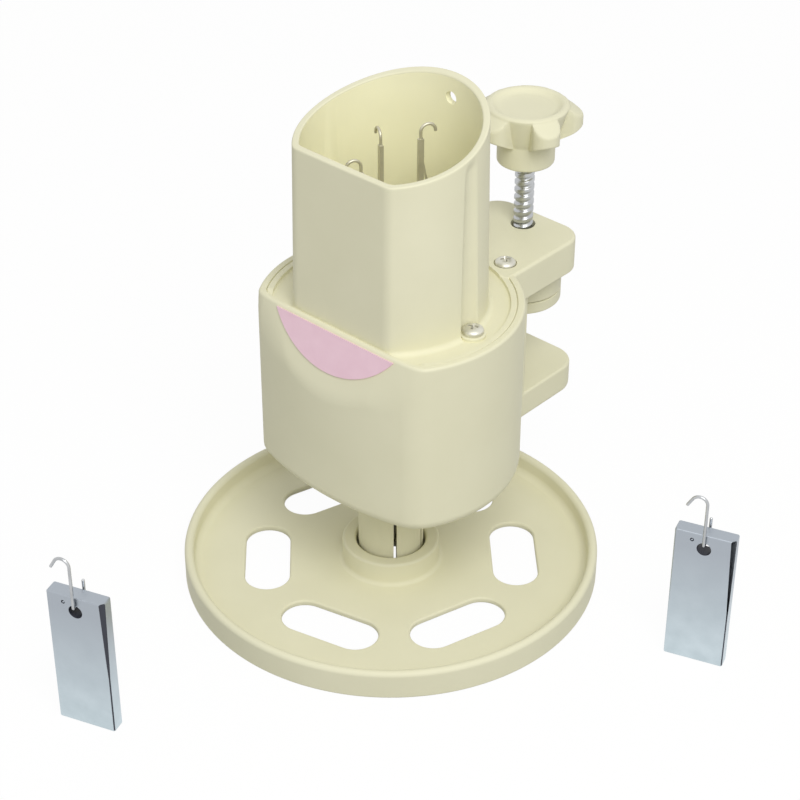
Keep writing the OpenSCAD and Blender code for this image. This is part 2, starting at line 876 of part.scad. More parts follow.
module clamp_nut() {
    color(steel)
        translate([0, screw_y, nut_z])
            difference() {
                cylinder(r = nut_r, h = nut_t, $fn = 6);
                translate([0, 0, -cut_over])
                    cylinder(r = thread_r + run_gap, h = nut_t + 2 * cut_over);
            }
}

// Plan of one finger slot
module slot_plan() {
    straight = slot_len - slot_w;
    square([slot_w, straight], center = true);
    for (s = sides)
        translate([0, s * straight / 2])
            circle(r = slot_w / 2);
}

module hand_wheel() {
    color(cream)
        difference() {
            rotate_extrude($fn = 144)
                union() {
                    translate([cord_exit_r, 0])
                        square([hub_r - cord_exit_r, tube_seat]);
                    translate([socket_r, 0])
                        square([hub_r - socket_r, hub_h]);
                    translate([hub_r - cut_over, wheel_plate_lift])
                        square([wheel_r - hub_r, wheel_plate_t]);
                    translate([wheel_r - wheel_rim_t, 0])
                        square([wheel_rim_t, wheel_h - wheel_lip_r]);
                    translate([wheel_r - wheel_rim_t + wheel_lip_r, 0])
                        square([wheel_rim_t - 2 * wheel_lip_r, wheel_h]);
                    for (x = [wheel_r - wheel_rim_t + wheel_lip_r, wheel_r - wheel_lip_r])
                        translate([x, wheel_h - wheel_lip_r])
                            circle(r = wheel_lip_r, $fn = 32);
                }
            for (i = [0:slot_count - 1])
                rotate([0, 0, slot_turn + i * 360 / slot_count])
                    translate([slot_circle_r, 0, -cut_over])
                        linear_extrude(tube_seat + 2 * cut_over)
                            slot_plan();
            translate([0, 0, barb_z - seat_gap])
                cylinder(r = tube_r + barb_out + free_gap, h = barb_h + 2 * seat_gap);
        }
}

// The two snap tongues' slits, or the barbs between them
module at_tongues() {
    for (turn = [0, 180])
        rotate([0, 0, tongue_turn + turn])
            children();
}

module needle_carrier() {
    color(cream)
        difference() {
            union() {
                translate([0, 0, tube_seat])
                    cylinder(r = tube_r, h = thrust_z - tube_seat);
                translate([0, 0, thrust_z])
                    cylinder(r = thrust_r, h = thrust_t);
                translate([0, 0, core_z])
                    cylinder(r = core_r, h = carrier_top - core_z);
                at_tongues()
                    rotate_extrude(angle = tongue_angle)
                        translate([tube_bore_r, barb_z])
                            polygon([[0, 0], [tube_r - tube_bore_r, 0],
                                [tube_r - tube_bore_r + barb_out, barb_h],
                                [0, barb_h]]);
            }
            translate([0, 0, tube_seat - cut_over])
                cylinder(r = tube_bore_r, h = thrust_z - tube_seat + cut_over);
            translate([0, 0, tube_seat])
                cylinder(r = cord_bore_r, h = carrier_top);
            at_tongues()
                for (a = [0, tongue_angle])
                    rotate([0, 0, a])
                        translate([0, -slit_w / 2, tube_seat - cut_over])
                            cube([2 * tube_r, slit_w, slit_len + cut_over]);
            for (k = [0:needle_count - 1])
                rotate([0, 0, needle_turn + k * needle_step])
                    translate([groove_r_in, -groove_w / 2, core_z])
                        cube([core_r, groove_w, carrier_top]);
        }
}

module carrier_sleeve() {
    color(cream)
        difference() {
            ring(sleeve_r, core_r + seat_gap / 2, carrier_top - sleeve_z, sleeve_z);
            for (k = [0:needle_count - 1])
                rotate([0, 0, needle_turn + k * needle_step])
                    translate([0, -groove_w / 2, carrier_top - latch_slot_h])
                        cube([2 * sleeve_r, groove_w, latch_slot_h + cut_over]);
        }
}

// Everything of one needle is drawn outwards along X and turned to its place
module at_needle(k) {
    rotate([0, 0, needle_turn + (k - 1) * needle_step])
        children();
}

module needle(k) {
    top = hook_top(k);
    bend_z = top - hook_wire_r - hook_bend_r;
    shank_x = needle_circle_r - shank_w / 2;
    shank_top = pin_z(k) + shank_over_pin;
    color(steel)
        at_needle(k) {
            difference() {
                union() {
                    translate([shank_x, -shank_t / 2, top - needle_len])
                        cube([shank_w, shank_t, shank_top - top + needle_len]);
                    translate([shank_x, -shank_t / 2, top - needle_len])
                        cube([butt_reach - shank_x, shank_t, butt_h]);
                }
                translate([pin_at_r - latch_eye_r - seat_gap, -latch_slot_w / 2,
                    pin_z(k) - latch_len - 2 * latch_tip_r])
                    cube([shank_w, latch_slot_w, shank_top - pin_z(k) + latch_len
                        + 2 * latch_tip_r + cut_over]);
                translate([pin_at_r, 0, pin_z(k)])
                    rotate([90, 0, 0])
                        cylinder(r = latch_pin_r + seat_gap / 5, h = 2 * shank_t,
                            center = true, $fn = 24);
            }
            translate([needle_circle_r, 0, shank_top - hook_wire_r])
                cylinder(r = hook_wire_r, h = bend_z - shank_top + hook_wire_r, $fn = 24);
            translate([needle_circle_r + hook_bend_r, 0, bend_z])
                rotate([90, 0, 0]) {
                    rotate_extrude(angle = 180, $fn = 48)
                        translate([hook_bend_r, 0])
                            circle(r = hook_wire_r, $fn = 24);
                    translate([hook_bend_r, 0, 0])
                        sphere(r = hook_wire_r, $fn = 24);
                }
        }
}

module latch(k) {
    color(steel)
        at_needle(k)
            translate([pin_at_r, latch_t / 2, pin_z(k)])
                rotate([90, 0, 0])
                    rotate([0, 0, latch_open - 90])
                        linear_extrude(latch_t)
                            difference() {
                                union() {
                                    circle(r = latch_eye_r, $fn = 24);
                                    translate([0, -latch_arm_w / 2])
                                        square([latch_len, latch_arm_w]);
                                    translate([latch_len, 0])
                                        circle(r = latch_tip_r, $fn = 24);
                                }
                                circle(r = latch_pin_r + run_gap, $fn = 24);
                            }
}

module latch_pin(k) {
    color(steel)
        at_needle(k)
            translate([pin_at_r, 0, pin_z(k)])
                rotate([90, 0, 0])
                    cylinder(r = latch_pin_r, h = shank_t, center = true, $fn = 24);
}

module pressure_pad() {
    color(cream)
        translate([0, screw_y, pad_z])
            difference() {
                cylinder(r = pad_r, h = pad_t);
                translate([0, 0, -cut_over])
                    cylinder(r = stub_r + run_gap, h = pad_t + 2 * cut_over);
                translate([0, 0, -cut_over])
                    cylinder(r = pad_washer_r + free_gap, h = pad_t - pad_web + cut_over);
            }
}

module pad_washer() {
    color(steel)
        translate([0, screw_y, 0])
            ring(pad_washer_r, stub_r + seat_gap / 2, pad_washer_t,
                pad_top - pad_web - seat_gap - pad_washer_t);
}

// Outline of the thread from its axis outwards, one notch per turn
module thread_outline(from_z, to_z) {
    turns = floor((to_z - from_z) / thread_pitch);
    start = to_z - turns * thread_pitch;
    polygon(concat([[0, from_z], [thread_r - thread_d, from_z]],
        [for (i = [0:turns - 1], point = [[thread_r - thread_d, 0],
            [thread_r, thread_pitch / 4], [thread_r, thread_pitch / 2]])
            [point[0], start + i * thread_pitch + point[1]]],
        [[thread_r - thread_d, to_z], [0, to_z]]));
}

module clamp_screw() {
    stub_z = pad_top - pad_web - seat_gap - pad_washer_t;
    thread_z = pad_top + seat_gap;
    color(steel)
        translate([0, screw_y, 0]) {
            rotate_extrude($fn = 48)
                thread_outline(thread_z, knob_z - seat_gap);
            translate([0, 0, stub_z])
                cylinder(r = stub_r, h = thread_z - stub_z);
            translate([0, 0, knob_z - seat_gap])
                cylinder(r = shank_top_r, h = shank_top_len);
        }
}

// Space that holds the lobes: sloping under and over them, from the neck out past their tips
module lobe_envelope() {
    rotate_extrude()
        polygon([
            [0, -lobe_under * lobe_past],
            [knob_neck_r - lobe_past, -lobe_under * lobe_past],
            [knob_lobe_tip_r + lobe_past, knob_tip_low + lobe_under * lobe_past],
            [knob_lobe_tip_r + lobe_past, knob_tip_top - lobe_over * lobe_past],
            [knob_head_r - lobe_past, lobe_root_h + lobe_over * lobe_past],
            [0, lobe_root_h + lobe_over * lobe_past]
        ]);
}

module clamp_knob() {
    head_z = knob_z + knob_neck_h;
    color(cream)
        translate([0, screw_y, 0])
            difference() {
                union() {
                    translate([0, 0, knob_z])
                        rotate_extrude()
                            polygon([
                                [0, 0],
                                [knob_neck_r, 0],
                                [knob_neck_r, knob_neck_h],
                                [knob_head_r, knob_neck_h + knob_flare_h],
                                [knob_head_r, knob_neck_h + knob_head_h],
                                [0, knob_neck_h + knob_head_h]
                            ]);
                    translate([0, 0, head_z])
                        intersection() {
                            lobe_envelope();
                            for (i = [0:knob_lobes - 1])
                                rotate([0, 0, knob_turn + i * 360 / knob_lobes])
                                    translate([lobe_at_r, 0, -lobe_past])
                                        cylinder(r = knob_lobe_r, h = knob_head_h + lobe_past);
                        }
                }
                translate([0, 0, knob_z - cut_over])
                    cylinder(r = shank_top_r + seat_gap / 2, h = shank_top_len + cut_over);
                translate([0, 0, head_z + knob_head_h - knob_dish_d])
                    cylinder(r = knob_dish_r, h = knob_dish_d + cut_over);
            }
}

// Each weight and its hook are drawn at the origin and moved to their place
module at_weight(k) {
    translate([weight_places[k - 1][0], weight_places[k - 1][1], 0])
        rotate([0, 0, weight_turn])
            children();
}

// Wedge that bevels the right front edge, widest at the top
module bevel_wedge() {
    grow = (weight_bevel_len + cut_over) / weight_bevel_len;
    polyhedron([
        [weight_w / 2, -weight_d / 2, weight_h - weight_bevel_len],
        [weight_w / 2 - weight_bevel_w * grow, -weight_d / 2, weight_h + cut_over],
        [weight_w / 2, -weight_d / 2 + weight_bevel_w * grow, weight_h + cut_over],
        [weight_w / 2 + cut_over, -weight_d / 2 - cut_over, weight_h + cut_over]],
        [[0, 1, 2], [0, 3, 1], [0, 2, 3], [1, 3, 2]]);
}

module weight(k) {
    color(zinc)
        at_weight(k)
            difference() {
                translate([-weight_w / 2, -weight_d / 2, 0])
                    cube([weight_w, weight_d, weight_h]);
                translate([0, 0, weight_h - weight_hole_drop])
                    rotate([90, 0, 0])
                        cylinder(r = weight_hole_r, h = 2 * weight_d, center = true);
                translate([-dimple_x, -weight_d / 2 + dimple_d, weight_h - dimple_drop])
                    rotate([90, 0, 0])
                        cylinder(r = dimple_r, h = weight_d, $fn = 24);
                bevel_wedge();
            }
}

// A straight upright piece of the hook's wire
module wire_up(x, y, from_z, to_z) {
    translate([x, y, from_z])
        cylinder(r = wire_r, h = to_z - from_z, $fn = 24);
}

module weight_hook(k) {
    color(steel)
        at_weight(k) {
            translate([0, 0, hook_z])
                rotate([90, 0, 0])
                    cylinder(r = wire_r, h = 2 * hook_leg_y, center = true, $fn = 24);
            for (s = sides)
                translate([0, s * hook_leg_y, hook_z])
                    sphere(r = wire_r, $fn = 24);
            wire_up(0, hook_leg_y, hook_z, weight_h + wire_tail);
            wire_up(0, -hook_leg_y, hook_z, hook_bend_z);
            translate([-wire_bend_r, -hook_leg_y, hook_bend_z])
                rotate([90, 0, 0]) {
                    rotate_extrude(angle = hook_bend_angle, $fn = 48)
                        translate([wire_bend_r, 0])
                            circle(r = wire_r, $fn = 24);
                    rotate([0, 0, hook_bend_angle])
                        translate([wire_bend_r, 0, 0])
                            rotate([-90, 0, 0])
                                cylinder(r = wire_r, h = hook_tip_len, $fn = 24);
                }
        }
}

lower_housing();
top_cover();
label_plate();
guide_bush();
raising_cam();
stitch_cam();
cam_screws();
thrust_washer();
side_screws();
rear_screws();
clamp_nut();
hand_wheel();
needle_carrier();
carrier_sleeve();
needle(1);  // needle_1
needle(2);  // needle_2
needle(3);  // needle_3
needle(4);  // needle_4
latch(1);  // latch_1
latch(2);  // latch_2
latch(3);  // latch_3
latch(4);  // latch_4
latch_pin(1);  // latch_pin_1
latch_pin(2);  // latch_pin_2
latch_pin(3);  // latch_pin_3
latch_pin(4);  // latch_pin_4
pressure_pad();
clamp_screw();
clamp_knob();
pad_washer();
weight(1);  // weight_1
weight(2);  // weight_2
weight_hook(1);  // weight_hook_1
weight_hook(2);  // weight_hook_2
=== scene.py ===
import math

import bmesh
import bpy
import numpy as np
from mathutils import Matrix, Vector


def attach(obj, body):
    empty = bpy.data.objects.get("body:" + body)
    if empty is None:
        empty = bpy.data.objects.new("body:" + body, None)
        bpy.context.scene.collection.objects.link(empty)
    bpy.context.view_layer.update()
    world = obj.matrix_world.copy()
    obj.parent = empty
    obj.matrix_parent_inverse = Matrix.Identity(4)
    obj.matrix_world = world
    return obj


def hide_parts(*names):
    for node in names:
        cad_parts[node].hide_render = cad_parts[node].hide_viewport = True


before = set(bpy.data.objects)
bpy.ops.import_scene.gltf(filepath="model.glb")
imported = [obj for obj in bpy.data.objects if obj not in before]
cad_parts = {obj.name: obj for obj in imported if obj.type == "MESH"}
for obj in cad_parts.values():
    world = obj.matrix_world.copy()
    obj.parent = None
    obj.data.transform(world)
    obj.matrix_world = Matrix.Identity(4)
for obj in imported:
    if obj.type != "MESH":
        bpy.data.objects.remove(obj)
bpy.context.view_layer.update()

# Sizes in millimetres, in the frame of the CAD model: the wheel's axis is Z
MM = 0.001

# A distance beyond everything, the radius at which a section ends at its axis, the distance
# below which points are joined, and the least sine of a direction that meets a line
FAR, AXIS_R, WELD, SHALLOW = 1e3, 0.01, 0.001, 0.02

# How far a cutter passes the surface above or below it, and the corners of a square
CUT_OVER, CUT_UNDER = 6.0, 4.0
SQUARE = ((-1, -1), (1, -1), (1, 1), (-1, 1))

# Steps of a rounded edge, a corner in the plan, a round hole, a turned shape and a closer one,
# then of wires and their ends, and sides of a wire and of a drill
FINE, CORNER_STEPS, HOLE_STEPS, LATHE_STEPS, CLOSE_STEPS = 6, 14, 48, 96, 180
DOME_STEPS, DOME_TIP, BEND_STEPS, WIRE_SIDES, DRILL_SIDES = 4, 0.02, 4, 16, 32

# Angles in degrees above which an edge is shaded sharp, and the weight of large faces
SHARP, SCREW_SHARP, KNOB_SHARP, WEIGHT_SHARP, FACE_WEIGHT = 38, 60, 50, 30, 100

# Noise of every material: ramp of its patches, octaves of patches and grain, and relief
TONE_FROM, TONE_TO, PATCH_DETAIL, GRAIN_DETAIL, RELIEF = 0.3, 0.7, 4, 3, 0.02

# Housing. Its right corner is softer than its left one
HOUSE_R, FRONT_C, FRONT_R = 37.9, 61.5, 90.0
RIGHT_CORNER_R, LEFT_CORNER_R = 12.0, 6.0
HOUSE_Z, HOUSE_TOP, FLOOR_Z, LEDGE_Z = 38.5, 93.75, 41.0, 90.0
HOUSE_EDGE, HOUSE_TOP_EDGE, RIM_EDGE, RIM_KNEE = 4.0, 0.8, 0.3, 0.09
RIM_W, WALL_W, CHORD_Y, CHORD_RIM_W = 2.2, 3.2, 22.75, 1.35
FACET_SLOPE = math.tan(math.radians(17.5))
FACET_SOFT, FACET_END_SOFT, FACET_INNER_Z = 0.8, 4.0, 76.0
FACET_END_FROM, FACET_END_SPAN = 0.5, 0.25
BEARING_R, BEARING_WALL, BEARING_TOP, BEARING_EDGE = 9.87, 3.2, 44.0, 0.4
FOOT_STEPS, WALL_STEPS, FACET_STEPS = 4, 5, 40

# Directions round the housing in degrees: close steps over its front, wider ones behind
FRONT_FROM, FRONT_TO, FRONT_STEP, BACK_STEP, NOTCH_STEP = -160, -20, 1.0, 2.5, 0.05

# Cover
COVER_TOP, COVER_GAP, LIP_W, LIP_TOP, LIP_LEAST_W = 92.4, 0.15, 1.85, 93.55, 0.6
LIP_FADE, LIP_EDGE, LIP_KNEE, LIP_FOOT, LIP_FOOT_KNEE = 1.8, 0.25, 0.07, 0.4, 0.12
SEAM_LOW, SEAM_TOP, SEAM_OVERLAP = 0.36, 0.3, 0.02
BUSH_HOLE_R, BUSH_LAND_W = 17.57, 2.0

# Needle tower
TOWER_R, TOWER_TAPER, TOWER_FLAT, TOWER_WALL = 27.4, 1.0 / 61.85, 21.0, 2.0
TOWER_SOFT, TOWER_FOOT_R, TOWER_SINK = 1.3, 1.6, 0.9
TOWER_STEPS, FADE_STEPS, INNER_STEPS = 10, 8, 14
MOUTH_R, MOUTH_Y, MOUTH_Z, MOUTH_EDGE = 156.0, -33.0, 298.5, 0.5
MOUTH_NEAR_Z, MOUTH_TRIES = 145.0, 4
GROOVE_AT_R, GROOVE_R, GROOVE_TURN, GROOVE_SOFT = 29.2, 4.4, 5.0, 0.5
GROOVE_LEAN, GROOVE_WALL, GROOVE_FADE = 0.02, 1.2, 4.0
YARN_HOLE_R, YARN_HOLE_Y, YARN_HOLE_Z, YARN_HOLE_REACH = 1.9, 26.0, 147.0, 6.0
# Where the painted light on the tower's inner wall reaches: margin inside the tower's radius, and
# distances above the cover and below the mouth
INNER_MARGIN, INNER_FOOT, INNER_TOP = 0.3, 1.0, 0.55

# Directions round the tower in degrees: widest step, and spans (from, to, step) with closer ones
TOWER_STEP, TOWER_TURN_END = 2.5, 359.99
TOWER_SPANS = ((0, 17, 0.35), (163, 182, 0.35), (190, 240, 1.0), (300, 350, 1.0), (350, 360, 0.35))

# Table clamp: arm above, jaw below and the spine between them
ARM_HALF_W, ARM_FROM_Y, ARM_Y, ARM_Z, ARM_CORNER = 17.5, 29.96, 66.4, 83.0, 7.5
ARM_LOW_EDGE, ARM_TOP_EDGE, NOTCH_GAP = 0.6, 1.0, 0.15
ROOT_R, ROOT_SINK, ROOT_STEPS = 33.65, 0.1, 240
JAW_HALF_W, JAW_Y, JAW_TOP, JAW_CORNER = 15.6, 70.0, 47.7, 8.5
JAW_LOW_EDGE, JAW_TOP_EDGE, CLAMP_FROM_Y = 1.6, 0.8, 24.0
SPINE_Y, SPINE_CORNER, SPINE_DRAWN_IN, SPINE_SINK = 43.2, 1.2, 0.08, 4.0
SCREW_Y, ARM_HOLE_R = 58.4, 3.7
BOSS_R, BOSS_Z, BOSS_EDGE, BOSS_SOFT = 12.2, 73.25, 0.35, 0.6
BOSS_CORE_R, BOSS_RISE, BOSS_BACK_GAP = 0.5, 0.8, 0.02
NUT_POCKET_R, NUT_POCKET_TOP, NUT_SIDES, POCKET_OVERLAP = 5.9, 79.0, 6, 1.0

# Pressure pad and clamp screw
PAD_R, PAD_Z, PAD_TOP, PAD_WEB, PAD_BORE_R, PAD_RECESS_R = 12.2, 69.15, 72.95, 2.0, 2.07, 4.5
PAD_RECESS_EDGE, PAD_LOW_EDGE, PAD_TOP_EDGE, PAD_EDGE_STEPS = 0.3, 0.8, 0.35, 5
STUB_R, STUB_PAST, STUB_EDGE = 2.0, 0.9, 0.2
THREAD_R, THREAD_D, THREAD_PITCH, THREAD_GAP, THREAD_INTO_KNOB = 2.95, 0.6, 2.5, 0.1, 6.0
THREAD_TURNS, THREAD_STEPS, THREAD_STEP_DOWN = 48, 14, 0.02
RIDGE_CREST, RIDGE_SLOPE, RUN_OUT_LOW, RUN_OUT_HIGH = 1.9, 4.6, 1.5, 1.0

# Clamp knob
KNOB_Z, KNOB_HEAD_Z, KNOB_TOP = 114.9, 122.4, 133.3
KNOB_NECK_R, KNOB_HEAD_R, KNOB_LOBE_TIP, KNOB_LOBE_R = 8.5, 12.1, 16.4, 4.2
KNOB_LOBES, KNOB_TURN = 5, 334.3
KNOB_TIP_LOW, KNOB_TIP_TOP, KNOB_ROOT_TOP, KNOB_VALLEY_Z = 126.0, 129.4, 132.5, 122.4
KNOB_EDGE, KNOB_NECK_H, KNOB_UNDER, KNOB_SHOULDER, KNOB_RIM = 0.8, 4.0, 0.4, 0.5, 1.5
KNOB_BORE_R, KNOB_BORE_H = 3.0, 7.0
LOBE_ROOT_SOFT, LOBE_TIP_SOFT, LOBE_RAMP_SOFT, LOBE_VALLEY_SOFT = 1.0, 0.5, 0.6, 0.5
LOBE_LEAST, VALLEY_CURVE = 0.02, 0.8
NECK_STEPS, LOBE_EDGE_STEPS, LOBE_STEPS, RAMP_STEPS, RIM_STEPS = 4, 5, 3, 12, 7

# Dish of the knob: its rim and flat radius, and its wall as (inward, down) from the top's edge
DISH_R, DISH_D, DISH_FLAT_R = 10.2, 1.4, 4.0
DISH_WALL = ((0, 0.12), (0.5, 0.45), (1.2, 1.05), (2.4, DISH_D))

# Cover screws. The recess is given as (height from the head's top, half length, half width)
SIDE_SCREW_R, SIDE_SPINS, REAR_X, REAR_Y, REAR_SPINS = 28.3, (25, 60), 11.0, 37.0, (10, 50)
SIDE_PAD_H, SIDE_PAD_W, SIDE_PAD_EDGE, SIDE_PAD_SINK = 1.0, 0.6, 0.3, 0.6
SCREW_R, SCREW_TIP_IN, SCREW_TIP_H = 1.75, 0.4, 0.6
SCREW_HEAD_R, SCREW_HEAD_H, SCREW_SEAT, HEAD_CLEARANCE = 3.1, 2.2, 0.7, 0.3
HEAD_EDGE_IN, HEAD_EDGE_H, HEAD_RIM_H, HEAD_DOME_H, HEAD_STEPS = 0.15, 0.2, 0.75, 1.4, 8
RECESS_FOOT, RECESS_MOUTH = (-1.5, 0.8, 0.22), (0.6, 2.0, 0.42)
SIDE_SCREW_LEN, REAR_SCREW_LEN = 13.0, 22.0

# Hand wheel
WHEEL_R, WHEEL_H, RIM_T, PLATE_Z, PLATE_TOP = 62.5, 9.0, 2.8, 0.4, 2.4
PLATE_IN_R, PLATE_OUT_R = 20.0, 50.0
HUB_R, HUB_H, EXIT_R, SOCKET_R = 14.7, 9.9, 7.0, 10.5
BARB_R, BARB_Z, BARB_TOP = 11.3, 3.9, 5.7
EXIT_EDGE, HUB_LOW_EDGE, HUB_TOP_EDGE, HUB_FILLET = 0.4, 0.15, 0.9, 1.4
RIM_LOW_EDGE, RIM_TOP_EDGE, RIM_FILLET, WHEEL_EDGE_STEPS = 0.7, 1.35, 2.4, 7
SLOTS, SLOT_AT_R, SLOT_LEN, SLOT_W, SLOT_TURN = 6, 37.5, 30.6, 13.5, 43.8
SLOT_EDGE, SLOT_END_STEPS, SLOT_CUT_UNDER, SLOT_CUT_OVER = 0.7, 25, 2.0, 12.0

# Weights
WEIGHT_W, WEIGHT_D, WEIGHT_H, WEIGHT_TURN = 17.5, 4.5, 45.0, 19.0
WEIGHT_PLACES = ((-14.1, -108.5), (94.3, 26.8))
WEIGHT_EDGE, WEIGHT_CORNER, WEIGHT_CORNER_STEPS = 0.45, 0.6, 5
WEIGHT_HOLE_R, WEIGHT_HOLE_DROP, WEIGHT_HOLE_REACH = 2.1, 4.8, 9.0
BEVEL_W, BEVEL_LEN, BEVEL_CUT = 1.3, 38.0, 1.0
DIMPLE_R, DIMPLE_X, DIMPLE_DROP, DIMPLE_D, DIMPLE_CUT, DIMPLE_SIDES = 0.6, 3.6, 2.4, 0.1, 1.0, 16

# What tells apart a weight's faces with painted shade and painted dark reflection: area in square
# millimetres, distance, and the share of a direction in the face's normal
SMALL_FACE, BEVEL_FACE, HOLE_MARGIN, DIMPLE_MARGIN = 2.0, 0.5, 0.05, 0.02
NORMAL_SIDE, NORMAL_BEVEL = 0.5, 0.9

# Wire hooks of the weights
WIRE_R, LEG_Y, HOOK_Z, TAIL_Z, LEG_BEND_R = 0.45, 3.0, 41.75, 47.2, 0.5
HOOK_BEND_R, HOOK_BEND_Z, HOOK_BEND_TURN, HOOK_BEND_STEPS, HOOK_TIP = 2.3, 55.85, 150.0, 18, 2.6

# Surroundings: floor, light and the camera at the photograph's viewing angle
FLOOR_HALF, FLOOR_DROP = 1500.0, 0.02
PAPER_GREY, PAPER_ROUGH, PAPER_GLOW, PAPER_GLOW_SHARE = (0.45, 0.45, 0.44, 1), 0.9, 1.06, 0.9
WHITE, SKY_STRENGTH, SEEN_SKY_STRENGTH = (1, 1, 1, 1), 0.55, 1.0
KEY_PLACE, KEY_TARGET, KEY_SIZE, KEY_POWER = (467, -292, 707), (0, 0, 60), 0.5, 4.0
VIEW_PLACE, VIEW_TARGET = (345.5, -379.7, 406.5), (0, 0, 50)
VIEW_SENSOR, VIEW_LENS, VIEW_SHIFT_X, VIEW_SHIFT_Y, VIEW_NEAR = 36.0, 96.1, 0.0114, 0.0333, 0.01


def turn(x, y, degrees):
    """A point of the plan, turned about the origin."""
    c, s = math.cos(math.radians(degrees)), math.sin(math.radians(degrees))
    return x * c - y * s, x * s + y * c


def full_turn(steps):
    """Directions in degrees, evenly spaced round a full turn."""
    return [360.0 * i / steps for i in range(steps)]


def quarter(steps):
    """Angles of a quarter turn in radians, its two ends included."""
    return [math.pi / 2 * i / steps for i in range(steps + 1)]


def unit(value):
    """A value held between 0 and 1."""
    return max(0.0, min(1.0, value))


def eased(share):
    """A share from 0 to 1 that starts and ends gently."""
    return share * share * (3 - 2 * share)


def soft_min(a, b, reach):
    """The lower of two values, with a smooth passage between them."""
    h = unit(0.5 + 0.5 * (b - a) / reach)
    return b + (a - b) * h - reach * h * (1 - h)


def soft_max(a, b, reach):
    """The higher of two values, with a smooth passage between them."""
    return -soft_min(-a, -b, reach)


def ray_circle(cx, cy, r, phi, side):
    """Where a ray from the origin leaves (side 1) or enters (side -1) a circle, or None."""
    b = cx * math.cos(phi) + cy * math.sin(phi)
    outside = cx * cx + cy * cy - r * r
    d = b * b - outside
    return None if d < 0 or (b < 0 < outside) else b + side * math.sqrt(d)


def arc(x, y, r, a0, a1, steps):
    """Points of the plan on an arc, its two ends included."""
    turns = [math.radians(a0 + (a1 - a0) * i / (steps - 1)) for i in range(steps)]
    return [(x + r * math.cos(a), y + r * math.sin(a)) for a in turns]


def ring(x, y, r, steps=HOLE_STEPS):
    """Points of the plan on a full circle."""
    return arc(x, y, r, 0, 360 - 360 / steps, steps)


def inset(outline, d):
    """An anticlockwise outline drawn in by d, point by point."""
    if not d:
        return list(outline)
    made = []
    for i, (x, y) in enumerate(outline):
        (ax, ay), (bx, by) = outline[i - 1], outline[(i + 1) % len(outline)]
        la, lb = math.hypot(x - ax, y - ay), math.hypot(bx - x, by - y)
        n1 = ((ay - y) / la, (x - ax) / la)
        n2 = ((y - by) / lb, (bx - x) / lb)
        share = d / (1 + n1[0] * n2[0] + n1[1] * n2[1])
        made.append((x + (n1[0] + n2[0]) * share, y + (n1[1] + n2[1]) * share))
    return made


def rounded(corners, steps):
    """A closed section drawn from (radius, height, rounding) corners."""
    points = [Vector((r, z)) for r, z, _ in corners]
    made = []
    for i, here in enumerate(points):
        radius = corners[i][2]
        if not radius:
            made.append(corners[i][:2])
            continue
        u = (points[i - 1] - here).normalized()
        v = (points[(i + 1) % len(points)] - here).normalized()
        half = u.angle(v) / 2
        reach = radius / math.tan(half)
        centre = here + (u + v).normalized() * radius / math.sin(half)
        a = here + u * reach - centre
        b = here + v * reach - centre
        for k in range(steps + 1):
            spoke = a.lerp(b, k / steps).normalized() * radius + centre
            made.append((spoke.x, spoke.y))
    return made


